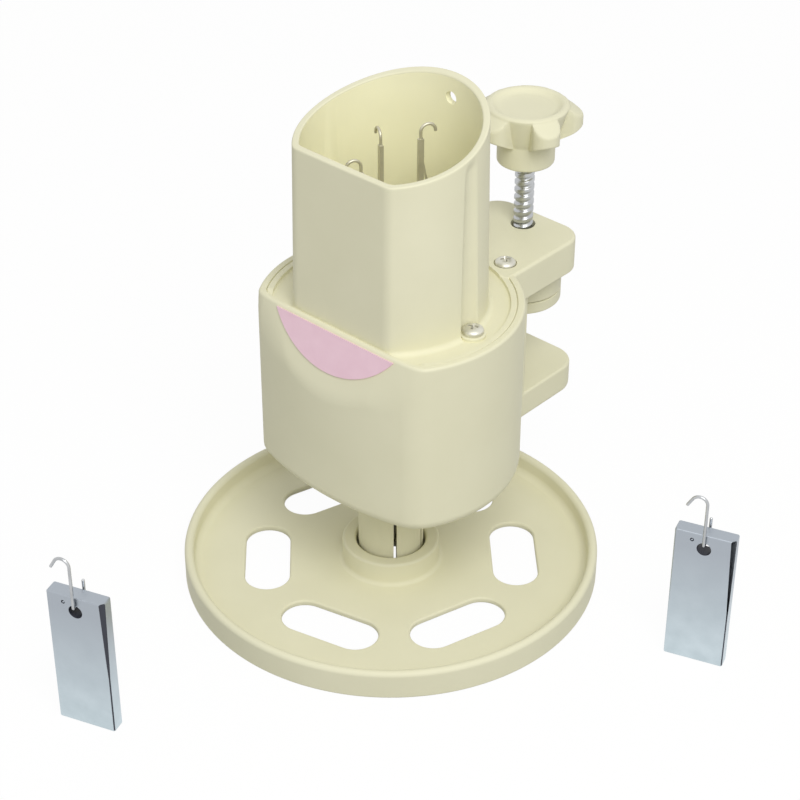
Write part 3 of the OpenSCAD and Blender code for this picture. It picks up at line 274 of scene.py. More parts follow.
class Shells:
    """Closed surfaces in millimetres, gathered for one mesh."""

    def __init__(self):
        self.verts = []
        self.faces = []

    def loft(self, rings, joined=False):
        """Quads between rings of one length. The two ends are capped, or joined to each other."""
        rings = np.asarray(rings, float)
        count, size = rings.shape[:2]
        base = len(self.verts)
        self.verts.extend(map(tuple, rings.reshape(-1, 3)))
        for i in range(count if joined else count - 1):
            a, b = base + i * size, base + (i + 1) % count * size
            for j in range(size):
                k = (j + 1) % size
                self.faces.append((a + j, a + k, b + k, b + j))
        if not joined:
            self.faces.append(tuple(base + j for j in reversed(range(size))))
            self.faces.append(tuple(base + (count - 1) * size + j for j in range(size)))
        return self

    def polar(self, x, y, turns, section):
        """One closed section of (radius, height) points for each direction round an upright axis."""
        rings = []
        for degrees in turns:
            phi = math.radians(degrees)
            rings.append([(x + r * math.cos(phi), y + r * math.sin(phi), z)
                          for r, z in section(phi)])
        return self.loft(rings, joined=True)

    def lathe(self, x, y, section, steps):
        """One closed section turned round an upright axis."""
        return self.polar(x, y, full_turn(steps), lambda phi: section)

    def prism(self, outline, z0, z1, low, top):
        """An outline raised from z0 to z1, with its lower and upper edges rounded."""
        rings = []
        for a in quarter(FINE):
            plan = inset(outline, low * (1 - math.sin(a)))
            rings.append([(px, py, z0 + low * (1 - math.cos(a))) for px, py in plan])
        for a in quarter(FINE):
            plan = inset(outline, top * (1 - math.cos(a)))
            rings.append([(px, py, z1 - top * (1 - math.sin(a))) for px, py in plan])
        return self.loft(rings)

    def post(self, x, y, r, z0, z1, steps=HOLE_STEPS):
        """An upright round post with sharp edges."""
        return self.prism(ring(x, y, r, steps), z0, z1, 0, 0)

    def wire(self, path, r, sides=WIRE_SIDES):
        """A round wire along a path, with rounded ends."""
        path = [Vector(p) for p in path]
        first, last = path[0] - path[1], path[-1] - path[-2]
        first.normalize()
        last.normalize()
        domes = [math.sin(a) for a in quarter(DOME_STEPS)]
        line = [(path[0] + first * r * d, r * math.sqrt(1 - d * d)) for d in reversed(domes)]
        line += [(p, r) for p in path[1:-1]]
        line += [(path[-1] + last * r * d, r * math.sqrt(1 - d * d)) for d in domes]
        line = [(p, max(radius, r * DOME_TIP)) for p, radius in line]
        side = first.orthogonal().normalized()
        rings = []
        for i, (p, radius) in enumerate(line):
            ahead = line[min(i + 1, len(line) - 1)][0] - line[max(i - 1, 0)][0]
            ahead.normalize()
            side = (side - ahead * side.dot(ahead)).normalized()
            across = ahead.cross(side)
            rings.append([tuple(p + radius * (side * math.cos(a) + across * math.sin(a)))
                          for a in (2 * math.pi * k / sides for k in range(sides))])
        return self.loft(rings)

    def mesh(self, name):
        """A mesh in metres with its doubled points joined and its faces turned outward."""
        data = bpy.data.meshes.new(name)
        data.from_pydata([(x * MM, y * MM, z * MM) for x, y, z in self.verts], [], self.faces)
        bm = bmesh.new()
        bm.from_mesh(data)
        bmesh.ops.remove_doubles(bm, verts=bm.verts, dist=WELD * MM)
        bmesh.ops.recalc_face_normals(bm, faces=bm.faces)
        bm.to_mesh(data)
        bm.free()
        return data


def new_object(name, data):
    obj = bpy.data.objects.new(name, data)
    bpy.context.scene.collection.objects.link(obj)
    return obj


def bake(obj):
    """Applies an object's modifiers."""
    bpy.context.view_layer.update()
    graph = bpy.context.evaluated_depsgraph_get()
    old = obj.data
    data = bpy.data.meshes.new_from_object(obj.evaluated_get(graph))
    obj.modifiers.clear()
    obj.data = data
    bpy.data.meshes.remove(old)
    data.name = obj.name


def cut(obj, shells):
    """Takes closed shells away from an object."""
    tool = new_object("cutter", shells.mesh("cutter"))
    step = obj.modifiers.new("cut", "BOOLEAN")
    step.operation = "DIFFERENCE"
    step.solver = "EXACT"
    step.object = tool
    bake(obj)
    data = tool.data
    bpy.data.objects.remove(tool)
    bpy.data.meshes.remove(data)
    return obj


def merge(obj, others):
    """Puts the meshes of other objects into one object."""
    bm = bmesh.new()
    bm.from_mesh(obj.data)
    for other in others:
        bm.from_mesh(other.data)
        data = other.data
        bpy.data.objects.remove(other)
        bpy.data.meshes.remove(data)
    bm.to_mesh(obj.data)
    bm.free()
    return obj


def piece(obj, body, material, nodes=(), sharp=SHARP):
    """Shading, material and place in the model of one finished piece."""
    data = obj.data
    data.polygons.foreach_set("use_smooth", [True] * len(data.polygons))
    data.set_sharp_from_angle(angle=math.radians(sharp))
    step = obj.modifiers.new("normals", "WEIGHTED_NORMAL")
    step.keep_sharp = True
    step.weight = FACE_WEIGHT
    bake(obj)
    obj.data.materials.clear()
    obj.data.materials.append(material)
    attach(obj, body)
    if nodes:
        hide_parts(*nodes)
    return obj


def linear(r, g, b):
    """A colour given in sRGB steps of 0 to 255."""
    parts = [v / 255 for v in (r, g, b)]
    return tuple(v / 12.92 if v < 0.04045 else ((v + 0.055) / 1.055) ** 2.4 for v in parts) + (1.0,)


def noise(nodes, links, where, size, detail):
    """Noise with features of one size in millimetres, fixed to the object."""
    node = nodes.new("ShaderNodeTexNoise")
    node.inputs["Scale"].default_value = 1 / (size * MM)
    node.inputs["Detail"].default_value = detail
    links.new(where.outputs["Object"], node.inputs["Vector"])
    return node


def surface(name, dark, light, patch, grain, bump, rough, metallic=0.0, specular=0.5):
    """A material whose colour and gloss drift over patches, with a fine grain in its bump."""
    material = bpy.data.materials.new(name)
    material.use_nodes = True
    nodes, links = material.node_tree.nodes, material.node_tree.links
    shader = nodes["Principled BSDF"]
    shader.inputs["Metallic"].default_value = metallic
    shader.inputs["Specular IOR Level"].default_value = specular
    where = nodes.new("ShaderNodeTexCoord")
    drift = noise(nodes, links, where, patch, PATCH_DETAIL)
    tone = nodes.new("ShaderNodeValToRGB")
    stops = tone.color_ramp.elements
    for stop, position, colour in zip(stops, (TONE_FROM, TONE_TO), (dark, light)):
        stop.position = position
        stop.color = linear(*colour)
    links.new(drift.outputs["Fac"], tone.inputs["Fac"])
    links.new(tone.outputs["Color"], shader.inputs["Base Color"])
    gloss = nodes.new("ShaderNodeMapRange")
    gloss.inputs["To Min"].default_value = rough[0]
    gloss.inputs["To Max"].default_value = rough[1]
    links.new(drift.outputs["Fac"], gloss.inputs["Value"])
    links.new(gloss.outputs["Result"], shader.inputs["Roughness"])
    relief = nodes.new("ShaderNodeBump")
    relief.inputs["Strength"].default_value = bump
    relief.inputs["Distance"].default_value = RELIEF * MM
    fine = noise(nodes, links, where, grain, GRAIN_DETAIL)
    links.new(fine.outputs["Fac"], relief.inputs["Height"])
    links.new(relief.outputs["Normal"], shader.inputs["Normal"])
    return material


def graded(material, upper, height):
    """Mixes a second colour into a material, from none at the floor to full at a height."""
    nodes, links = material.node_tree.nodes, material.node_tree.links
    colour = nodes["Principled BSDF"].inputs["Base Color"]
    base = colour.links[0].from_socket
    where = nodes.new("ShaderNodeTexCoord")
    parts = nodes.new("ShaderNodeSeparateXYZ")
    links.new(where.outputs["Object"], parts.inputs[0])
    share = nodes.new("ShaderNodeMapRange")
    share.inputs["From Max"].default_value = height * MM
    links.new(parts.outputs["Z"], share.inputs["Value"])
    mixed = nodes.new("ShaderNodeMix")
    mixed.data_type = "RGBA"
    mixed.inputs["B"].default_value = linear(*upper)
    links.new(share.outputs["Result"], mixed.inputs["Factor"])
    links.new(base, mixed.inputs["A"])
    links.new(mixed.outputs["Result"], colour)
    return material


# Materials
cream = surface("cream_plastic", dark=(229, 226, 196), light=(233, 230, 201), patch=22, grain=0.5,
                bump=0.25, rough=(0.46, 0.56), specular=0.2)
# Lighter copy of the cream plastic: painted light for the tower's inner wall
painted_light_cream = surface("cream_painted_inner_light", dark=(246, 243, 208), light=(250, 247, 213), patch=22,
                      grain=0.5, bump=0.25, rough=(0.46, 0.56), specular=0.2)
pink = surface("pink_label", dark=(238, 202, 215), light=(243, 209, 221), patch=6, grain=0.35,
               bump=0.3, rough=(0.5, 0.62))
nylon = surface("white_nylon", dark=(232, 232, 226), light=(240, 240, 235), patch=12, grain=0.4,
                bump=0.25, rough=(0.4, 0.5))
steel = surface("plated_steel", dark=(176, 178, 180), light=(198, 200, 202), patch=4, grain=0.3,
                bump=0.3, rough=(0.24, 0.36), metallic=1.0)
screw_steel = surface("screw_steel", dark=(206, 204, 192), light=(224, 222, 210), patch=4,
                      grain=0.3, bump=0.3, rough=(0.36, 0.46), metallic=0.7)
needle_steel = surface("needle_steel", dark=(188, 184, 164), light=(208, 204, 184), patch=5,
                       grain=0.25, bump=0.3, rough=(0.34, 0.46), metallic=0.6)
zinc = surface("plated_zinc", dark=(193, 207, 213), light=(210, 223, 229), patch=7, grain=0.3,
               bump=0.35, rough=(0.3, 0.42), metallic=1.0)
graded(zinc, upper=(173, 180, 188), height=40.0)
# Dark zinc: painted shade for the weight's hole and dimple, and a painted dark reflection for its
# bevel
painted_shade_reflection_zinc = surface("zinc_painted_shade_and_reflection", dark=(38, 40, 50), light=(52, 55, 68), patch=5, grain=0.3,
                      bump=0.3, rough=(0.4, 0.5))


# Housing
def corner_circle(r):
    """Centre of the circle that rounds the housing's side into its front."""
    y = ((HOUSE_R - r) ** 2 - (FRONT_R - r) ** 2 + FRONT_C ** 2) / (2 * FRONT_C)
    return math.sqrt((HOUSE_R - r) ** 2 - y * y), y


def wall_plan(phi):
    """Radius of the housing's plan in a direction."""
    right = math.cos(phi) >= 0
    side = phi if right else math.pi - phi
    side = math.atan2(math.sin(side), math.cos(side))
    r = RIGHT_CORNER_R if right else LEFT_CORNER_R
    x, y = corner_circle(r)
    tangent_x = FRONT_R * x / (FRONT_R - r)
    tangent_y = FRONT_C + FRONT_R * (y - FRONT_C) / (FRONT_R - r)
    if side >= math.atan2(y, x):
        return HOUSE_R
    if side >= math.atan2(tangent_y, tangent_x):
        return ray_circle(x, y, r, side, 1)
    return ray_circle(0, FRONT_C, FRONT_R, side, 1)


def line_r(phi, y):
    """Distance to a line across the front, or far away behind it."""
    return y / -math.sin(phi) if math.sin(phi) < -SHALLOW else FAR


def facet_reach(phi):
    """Softness of the facet's edge in a direction, least in the middle and most at its ends."""
    share = unit((abs(math.cos(phi)) - FACET_END_FROM) / FACET_END_SPAN)
    return FACET_SOFT + (FACET_END_SOFT - FACET_SOFT) * share


def wall_r(phi, z, drawn_in=0.0):
    """Radius of the housing's wall at a height, with the sloping facet cut off its front."""
    facet = line_r(phi, CHORD_Y + (HOUSE_TOP - z) * FACET_SLOPE)
    return soft_min(wall_plan(phi), facet, facet_reach(phi)) - drawn_in


def rim_r(phi, gap=0.0):
    """Radius of the rim's inner edge."""
    chord = line_r(phi, CHORD_Y - CHORD_RIM_W - gap)
    return soft_min(wall_plan(phi) - RIM_W - gap, chord, facet_reach(phi))


def house_section(phi):
    """Foot, outer wall, rim, inner wall and bearing, with the arm's notch cut down behind."""
    start, foot = BEARING_R + BEARING_EDGE, wall_plan(phi) - HOUSE_EDGE
    points = [(BEARING_R, HOUSE_Z + BEARING_EDGE), (start, HOUSE_Z)]
    points += [(start + (foot - start) * i / FOOT_STEPS, HOUSE_Z) for i in range(1, FOOT_STEPS)]
    points += [(foot + HOUSE_EDGE * math.sin(a), HOUSE_Z + HOUSE_EDGE * (1 - math.cos(a)))
               for a in quarter(FINE)]
    low = HOUSE_Z + HOUSE_EDGE
    facet_low = HOUSE_TOP - (FRONT_R - FRONT_C - CHORD_Y + FACET_SOFT) / FACET_SLOPE
    top = HOUSE_TOP - HOUSE_TOP_EDGE
    levels = [low + (facet_low - low) * i / WALL_STEPS for i in range(1, WALL_STEPS + 1)]
    levels += [facet_low + (top - facet_low) * i / FACET_STEPS for i in range(1, FACET_STEPS + 1)]
    points += [(wall_r(phi, z), z) for z in levels]
    for a in quarter(FINE)[1:]:
        z = top + HOUSE_TOP_EDGE * math.sin(a)
        points.append((wall_r(phi, z) - HOUSE_TOP_EDGE * (1 - math.cos(a)), z))
    inner, bearing = rim_r(phi), BEARING_R + BEARING_WALL
    points += [(inner + RIM_EDGE, HOUSE_TOP), (inner + RIM_KNEE, HOUSE_TOP - RIM_KNEE),
               (inner, HOUSE_TOP - RIM_EDGE), (inner, LEDGE_Z)]
    points += [(wall_r(phi, z, WALL_W), z) for z in (LEDGE_Z, FACET_INNER_Z, FLOOR_Z)]
    points += [(bearing, FLOOR_Z), (bearing, BEARING_TOP), (BEARING_R, BEARING_TOP)]
    if math.sin(phi) > 0 and abs(HOUSE_R * math.cos(phi)) < ARM_HALF_W + NOTCH_GAP:
        points = [(r, min(z, ARM_Z)) for r, z in points]
    return points


def house_directions():
    """Directions for the housing's and the cover's sections, with a pair at each notch edge."""
    front = int((FRONT_TO - FRONT_FROM) / FRONT_STEP)
    back = int((360 - FRONT_TO + FRONT_FROM) / BACK_STEP)
    turns = [FRONT_FROM + FRONT_STEP * i for i in range(front + 1)]
    turns += [FRONT_TO + BACK_STEP * i for i in range(1, back)]
    notch = math.degrees(math.acos((ARM_HALF_W + NOTCH_GAP) / HOUSE_R))
    turns += [at + step for at in (notch, 180 - notch) for step in (-NOTCH_STEP, NOTCH_STEP)]
    return sorted(turns)


def clamp_outline(from_y, to_y, half_w, corner):
    """Plan of a part of the clamp: straight sides and two rounded corners at the back."""
    return ([(-half_w, from_y), (half_w, from_y)]
            + arc(half_w - corner, to_y - corner, corner, 0, 90, CORNER_STEPS)
            + arc(corner - half_w, to_y - corner, corner, 90, 180, CORNER_STEPS))


def make_housing():
    shell = Shells().polar(0, 0, house_directions(), house_section)
    house = new_object("housing_shell", shell.mesh("h"))
    spine = clamp_outline(CLAMP_FROM_Y, SPINE_Y, JAW_HALF_W - SPINE_DRAWN_IN, SPINE_CORNER)
    jaw = clamp_outline(CLAMP_FROM_Y, JAW_Y, JAW_HALF_W, JAW_CORNER)
    clamp = Shells().prism(spine, JAW_TOP - SPINE_SINK, ARM_Z, 0, 0)
    clamp.prism(jaw, HOUSE_Z, JAW_TOP, JAW_LOW_EDGE, JAW_TOP_EDGE)
    merge(house, [new_object("clamp", clamp.mesh("c"))])
    piece(house, "housing", cream, ["lower_housing"])


# Cover, needle tower and clamp arm
def cover_section(phi):
    """Plate of the cover with the low lip along its edge and the seam beside it."""
    edge = rim_r(phi, COVER_GAP)
    share = unit((edge * math.sin(phi) + TOWER_FLAT) / LIP_FADE)
    top = COVER_TOP + (LIP_TOP - COVER_TOP) * share
    inner = min(HOUSE_R - RIM_W - COVER_GAP - LIP_W, edge - LIP_LEAST_W)
    close = edge + COVER_GAP - SEAM_OVERLAP
    return [(BUSH_HOLE_R, LEDGE_Z), (close, LEDGE_Z), (close, top - SEAM_LOW),
            (edge, top - SEAM_TOP), (edge, top - LIP_EDGE), (edge - LIP_KNEE, top - LIP_KNEE),
            (edge - LIP_EDGE, top), (inner + LIP_EDGE, top),
            (inner + LIP_KNEE, top - LIP_KNEE * share), (inner, top - LIP_EDGE * share),
            (inner, COVER_TOP + LIP_FOOT * share),
            (inner - LIP_FOOT_KNEE * share, COVER_TOP + LIP_FOOT_KNEE * share),
            (inner - LIP_FOOT, COVER_TOP), (BUSH_HOLE_R + BUSH_LAND_W, COVER_TOP),
            (BUSH_HOLE_R, COVER_TOP)]


def mouth_z(phi, r):
    """Height of the curved mouth over a point."""
    return MOUTH_Z - math.sqrt(MOUTH_R ** 2 - (r * math.sin(phi) - MOUTH_Y) ** 2)


def tower_radius(phi, z, drawn_in):
    """Radius of the tower's outer or inner wall: a cone with a flat in front and two grooves."""
    lean = (z - COVER_TOP) * TOWER_TAPER + drawn_in
    cone = TOWER_R - lean
    r = soft_min(cone, line_r(phi, TOWER_FLAT - lean), TOWER_SOFT)
    depth = eased(unit((mouth_z(phi, cone) - MOUTH_EDGE - z) / GROOVE_FADE))
    for at in (GROOVE_TURN, 180 - GROOVE_TURN):
        x, y = turn(GROOVE_AT_R + (z - COVER_TOP) * GROOVE_LEAN, 0, at)
        groove = ray_circle(x, y, GROOVE_R + min(drawn_in, GROOVE_WALL), phi, -1)
        if groove is not None:
            r += (soft_min(r, groove, GROOVE_SOFT) - r) * depth
    return r


def tower_top(phi, drawn_in):
    """Radius and height at which a wall meets the mouth."""
    z = MOUTH_NEAR_Z
    for _ in range(MOUTH_TRIES):
        r = tower_radius(phi, z, drawn_in)
        z = mouth_z(phi, r)
    return r, z


def tower_section(phi):
    """Foot, outer wall, rounded mouth and inner wall in one direction."""
    low, start = COVER_TOP - TOWER_SINK, COVER_TOP + TOWER_FOOT_R
    points = []
    for a in quarter(FINE):
        z = COVER_TOP + TOWER_FOOT_R * (1 - math.cos(a))
        points.append((tower_radius(phi, z, 0) + TOWER_FOOT_R * (1 - math.sin(a)), z))
    points = [(points[0][0], low)] + points
    end = tower_top(phi, 0)[1] - MOUTH_EDGE
    levels = [start + (end - GROOVE_FADE - start) * i / TOWER_STEPS
              for i in range(1, TOWER_STEPS + 1)]
    levels += [end - GROOVE_FADE * (1 - i / FADE_STEPS) for i in range(1, FADE_STEPS + 1)]
    points += [(tower_radius(phi, z, 0), z) for z in levels]
    outer = points[-1][0]
    for a in quarter(FINE)[1:]:
        r = outer - MOUTH_EDGE * (1 - math.cos(a))
        points.append((r, mouth_z(phi, r) - MOUTH_EDGE * (1 - math.sin(a))))
    inner, inner_top = tower_top(phi, TOWER_WALL)
    for a in quarter(FINE)[:-1]:
        r = inner + MOUTH_EDGE * (1 - math.sin(a))
        points.append((r, mouth_z(phi, r) - MOUTH_EDGE * (1 - math.cos(a))))
    end = inner_top - MOUTH_EDGE
    for i in range(INNER_STEPS + 1):
        z = end + (low - end) * i / INNER_STEPS
        points.append((tower_radius(phi, z, TOWER_WALL), z))
    return points


def tower_directions():
    """Directions round a full turn, closer together in the given spans."""
    turns, at = [], 0.0
    while at < TOWER_TURN_END:
        turns.append(at)
        at += min([TOWER_STEP] + [step for lo, hi, step in TOWER_SPANS if lo <= at < hi])
    return turns


def boss_section(phi):
    """Boss under the arm, flush with the arm's back."""
    ahead = math.sin(phi)
    flush = (ARM_Y - SCREW_Y - BOSS_BACK_GAP) / ahead if ahead > SHALLOW else FAR
    r = soft_min(BOSS_R, flush, BOSS_SOFT)
    points = [(BOSS_CORE_R, ARM_Z + BOSS_RISE), (BOSS_CORE_R, BOSS_Z)]
    points += [(r - BOSS_EDGE * (1 - math.sin(a)), BOSS_Z + BOSS_EDGE * (1 - math.cos(a)))
               for a in quarter(FINE)]
    return points + [(r, ARM_Z - ARM_LOW_EDGE), (r, ARM_Z + BOSS_RISE)]


def make_tower():
    shell = Shells().polar(0, 0, tower_directions(), tower_section)
    tower = new_object("tower", shell.mesh("t"))
    yarn_hole = [(0, YARN_HOLE_Y + step, YARN_HOLE_Z)
                 for step in (-YARN_HOLE_REACH, 0, YARN_HOLE_REACH)]
    return cut(tower, Shells().wire(yarn_hole, YARN_HOLE_R, DRILL_SIDES))


def make_screw_pads():
    """Low round pads that the two screws at the tower's foot sit on."""
    pads = Shells()
    for at in (GROOVE_TURN, 180 - GROOVE_TURN):
        x, y = turn(SIDE_SCREW_R, 0, at)
        pads.prism(ring(x, y, SCREW_HEAD_R + SIDE_PAD_W), COVER_TOP - SIDE_PAD_SINK,
                   COVER_TOP + SIDE_PAD_H, 0, SIDE_PAD_EDGE)
    return new_object("pads", pads.mesh("pads"))


def make_arm():
    outline = clamp_outline(ARM_FROM_Y, ARM_Y, ARM_HALF_W, ARM_CORNER)
    shell = Shells().prism(outline, ARM_Z, HOUSE_TOP, ARM_LOW_EDGE, ARM_TOP_EDGE)
    arm = new_object("arm", shell.mesh("a"))
    holes = Shells()
    for x in (-REAR_X, REAR_X):
        holes.post(x, REAR_Y, SCREW_HEAD_R + HEAD_CLEARANCE, HOUSE_TOP - SCREW_SEAT,
                   HOUSE_TOP + CUT_OVER)
    holes.post(0, SCREW_Y, ARM_HOLE_R, BOSS_Z - CUT_UNDER, HOUSE_TOP + CUT_OVER)
    holes.post(0, 0, ROOT_R, COVER_TOP - ROOT_SINK, HOUSE_TOP + CUT_OVER, ROOT_STEPS)
    return cut(arm, holes)


def make_boss():
    shell = Shells().polar(0, SCREW_Y, full_turn(CLOSE_STEPS), boss_section)
    boss = new_object("boss", shell.mesh("b"))
    pocket = Shells().prism(ring(0, SCREW_Y, NUT_POCKET_R, NUT_SIDES), BOSS_Z - CUT_UNDER,
                            NUT_POCKET_TOP, 0, 0)
    pocket.post(0, SCREW_Y, ARM_HOLE_R, NUT_POCKET_TOP - POCKET_OVERLAP, HOUSE_TOP + CUT_OVER)
    return cut(boss, pocket)


def make_cover():
    tower = make_tower()
    plate = new_object("plate", Shells().polar(0, 0, house_directions(), cover_section).mesh("p"))
    cover = merge(tower, [plate, make_screw_pads(), make_arm(), make_boss()])
    cover.name = "cover_and_tower"
    piece(cover, "housing", cream, ["top_cover"])
    # Painted light: the lighter cream goes on the inward faces of the tower's inner wall, between
    # its foot and its mouth
    cover.data.materials.append(painted_light_cream)
    for face in cover.data.polygons:
        x, y, z = face.center / MM
        out, phi = math.hypot(x, y), math.atan2(y, x)
        inward = face.normal.x * x + face.normal.y * y < 0 and out < TOWER_R - INNER_MARGIN
        if inward and COVER_TOP + INNER_FOOT < z < mouth_z(phi, out) - INNER_TOP:
            face.material_index = 1


# Hand wheel
def make_wheel():
    rim_in = WHEEL_R - RIM_T
    corners = [(EXIT_R, 0, EXIT_EDGE), (HUB_R, 0, HUB_LOW_EDGE), (HUB_R, PLATE_Z, 0),
               (PLATE_IN_R, PLATE_Z, 0), (PLATE_OUT_R, PLATE_Z, 0), (rim_in, PLATE_Z, 0),
               (rim_in, 0, 0), (WHEEL_R, 0, RIM_LOW_EDGE), (WHEEL_R, WHEEL_H, RIM_TOP_EDGE),
               (rim_in, WHEEL_H, RIM_TOP_EDGE), (rim_in, PLATE_TOP, RIM_FILLET),
               (PLATE_OUT_R, PLATE_TOP, 0), (PLATE_IN_R, PLATE_TOP, 0),
               (HUB_R, PLATE_TOP, HUB_FILLET), (HUB_R, HUB_H, HUB_TOP_EDGE),
               (SOCKET_R, HUB_H, HUB_TOP_EDGE), (SOCKET_R, BARB_TOP, 0), (BARB_R, BARB_TOP, 0),
               (BARB_R, BARB_Z, 0), (SOCKET_R, BARB_Z, 0), (SOCKET_R, PLATE_TOP, 0),
               (EXIT_R, PLATE_TOP, 0)]
    shell = Shells().lathe(0, 0, rounded(corners, WHEEL_EDGE_STEPS), CLOSE_STEPS)
    wheel = new_object("hand_wheel_shell", shell.mesh("w"))
    straight = (SLOT_LEN - SLOT_W) / 2
    rows = [(PLATE_Z - SLOT_CUT_UNDER, SLOT_EDGE)]
    rows += [(PLATE_Z + SLOT_EDGE * (1 - math.cos(a)), SLOT_EDGE * (1 - math.sin(a)))
             for a in quarter(FINE)]
    rows += [(PLATE_TOP - SLOT_EDGE * (1 - math.sin(a)), SLOT_EDGE * (1 - math.cos(a)))
             for a in quarter(FINE)]
    rows += [(PLATE_TOP + SLOT_CUT_OVER, SLOT_EDGE)]
    slots = Shells()
    for i in range(SLOTS):
        plan = (arc(0, straight, SLOT_W / 2, 0, 180, SLOT_END_STEPS)
                + arc(0, -straight, SLOT_W / 2, 180, 360, SLOT_END_STEPS))
        plan = [turn(x + SLOT_AT_R, y, SLOT_TURN + 360 * i / SLOTS) for x, y in plan]
        slots.loft([[(x, y, z) for x, y in inset(plan, -out)] for z, out in rows])
    cut(wheel, slots)
    piece(wheel, "rotor", cream, ["hand_wheel"])


# Clamp screw with its helical thread
def thread_section(phi):
    """Radii up the screw in one direction, so that the ridge climbs a pitch each turn."""
    foot, low, high = PAD_TOP - PAD_WEB - STUB_PAST, PAD_TOP + THREAD_GAP, KNOB_Z - THREAD_GAP
    points = [(AXIS_R, foot), (STUB_R - STUB_EDGE, foot), (STUB_R, foot + STUB_EDGE),
              (STUB_R, low)]
    steps = int((high - low) / THREAD_PITCH * THREAD_STEPS)
    for i in range(steps + 1):
        z = low + (high - low) * i / steps
        share = (z / THREAD_PITCH - phi / (2 * math.pi)) % 1.0
        ridge = eased(unit(RIDGE_CREST - abs(share - 0.5) * RIDGE_SLOPE))
        ends = unit(min((z - low) / RUN_OUT_LOW, (high - z) / RUN_OUT_HIGH))
        points.append((THREAD_R - THREAD_D + THREAD_D * ridge * ends, z))
    top = high + THREAD_INTO_KNOB
    return points + [(STUB_R, high + THREAD_STEP_DOWN), (STUB_R, top), (AXIS_R, top)]


def make_clamp_screw():
    shell = Shells().polar(0, SCREW_Y, full_turn(THREAD_TURNS), thread_section)
    screw = new_object("clamp_screw_thread", shell.mesh("s"))
    piece(screw, "screw", steel, ["clamp_screw"], SCREW_SHARP)


# Clamp knob with its five lobes and dished top
def knob_plan(phi):
    """Radius of the lobed head in a direction, down to the neck's between the lobes."""
    r = KNOB_NECK_R
    for i in range(KNOB_LOBES):
        x, y = turn(KNOB_LOBE_TIP - KNOB_LOBE_R, 0, KNOB_TURN + 360 * i / KNOB_LOBES)
        lobe = ray_circle(x, y, KNOB_LOBE_R, phi, 1)
        if lobe is not None:
            r = soft_max(r, lobe, LOBE_ROOT_SOFT)
    return max(KNOB_NECK_R, soft_min(r, KNOB_LOBE_TIP, LOBE_TIP_SOFT))


def knob_upper_r(z, lobed, share):
    """Radius of the head above the lobe's edge, where the lobe slopes up to the rim."""
    widened = max(0.0, z - KNOB_VALLEY_Z) / (KNOB_ROOT_TOP - KNOB_VALLEY_Z)
    valley = KNOB_NECK_R + (KNOB_HEAD_R - KNOB_NECK_R) * widened ** VALLEY_CURVE
    slope = (KNOB_LOBE_TIP - KNOB_HEAD_R) / (KNOB_ROOT_TOP - KNOB_TIP_TOP)
    ramp = KNOB_HEAD_R + slope * (KNOB_ROOT_TOP - z)
    lobe = soft_min(lobed, ramp, LOBE_RAMP_SOFT)
    return soft_max(valley, lobe, LOBE_VALLEY_SOFT) if share > LOBE_LEAST else valley


def knob_section(phi):
    """Neck, underside, lobe or valley, and the rounded head above them in one direction."""
    lobed = knob_plan(phi)
    share = (lobed - KNOB_NECK_R) / (KNOB_LOBE_TIP - KNOB_NECK_R)
    points = [(KNOB_BORE_R, KNOB_Z)]
    points += [(KNOB_NECK_R - KNOB_EDGE * (1 - math.sin(a)), KNOB_Z + KNOB_EDGE * (1 - math.cos(a)))
               for a in quarter(NECK_STEPS)]
    start = KNOB_HEAD_Z - KNOB_UNDER
    low = start + (KNOB_TIP_LOW - start) * share
    points += [(KNOB_NECK_R, KNOB_Z + KNOB_NECK_H), (KNOB_NECK_R, start - KNOB_UNDER / 2)]
    edge = KNOB_EDGE * share
    points += [(KNOB_NECK_R + (lobed - edge - KNOB_NECK_R) * k / LOBE_STEPS,
                start + (low - start) * k / LOBE_STEPS) for k in range(LOBE_STEPS)]
    points += [(lobed - edge * (1 - math.sin(a)), low + edge * (1 - math.cos(a)))
               for a in quarter(LOBE_EDGE_STEPS)]
    high = KNOB_VALLEY_Z + (KNOB_TIP_TOP - KNOB_VALLEY_Z) * share
    shoulder = high - KNOB_SHOULDER * share
    points += [(lobed, low + edge + (shoulder - low - edge) * k / LOBE_STEPS)
               for k in range(1, LOBE_STEPS + 1)]
    for k in range(1, RAMP_STEPS + 1):
        z = shoulder + (KNOB_ROOT_TOP - shoulder) * k / RAMP_STEPS
        points.append((knob_upper_r(z, lobed, share), z))
    last = points[-1][0]
    points += [(last - KNOB_RIM * (1 - math.cos(a)),
                KNOB_ROOT_TOP + (KNOB_TOP - KNOB_ROOT_TOP) * math.sin(a))
               for a in quarter(RIM_STEPS)[1:]]
    points += [(DISH_R - inward, KNOB_TOP - down) for inward, down in DISH_WALL]
    points += [(DISH_FLAT_R, KNOB_TOP - DISH_D), (AXIS_R, KNOB_TOP - DISH_D)]
    return points + [(AXIS_R, KNOB_Z + KNOB_BORE_H), (KNOB_BORE_R, KNOB_Z + KNOB_BORE_H)]


def make_knob():
    shell = Shells().polar(0, SCREW_Y, full_turn(CLOSE_STEPS), knob_section)
    knob = new_object("clamp_knob_shell", shell.mesh("k"))
    piece(knob, "screw", cream, ["clamp_knob"], KNOB_SHARP)


def make_pad():
    corners = [(PAD_BORE_R, PAD_TOP, 0), (PAD_BORE_R, PAD_TOP - PAD_WEB, 0),
               (PAD_RECESS_R, PAD_TOP - PAD_WEB, 0), (PAD_RECESS_R, PAD_Z, PAD_RECESS_EDGE),
               (PAD_R, PAD_Z, PAD_LOW_EDGE), (PAD_R, PAD_TOP, PAD_TOP_EDGE)]
    shell = Shells().lathe(0, SCREW_Y, rounded(corners, PAD_EDGE_STEPS), LATHE_STEPS)
    pad = new_object("pad_shell", shell.mesh("pad"))
    piece(pad, "pad", cream, ["pressure_pad"])


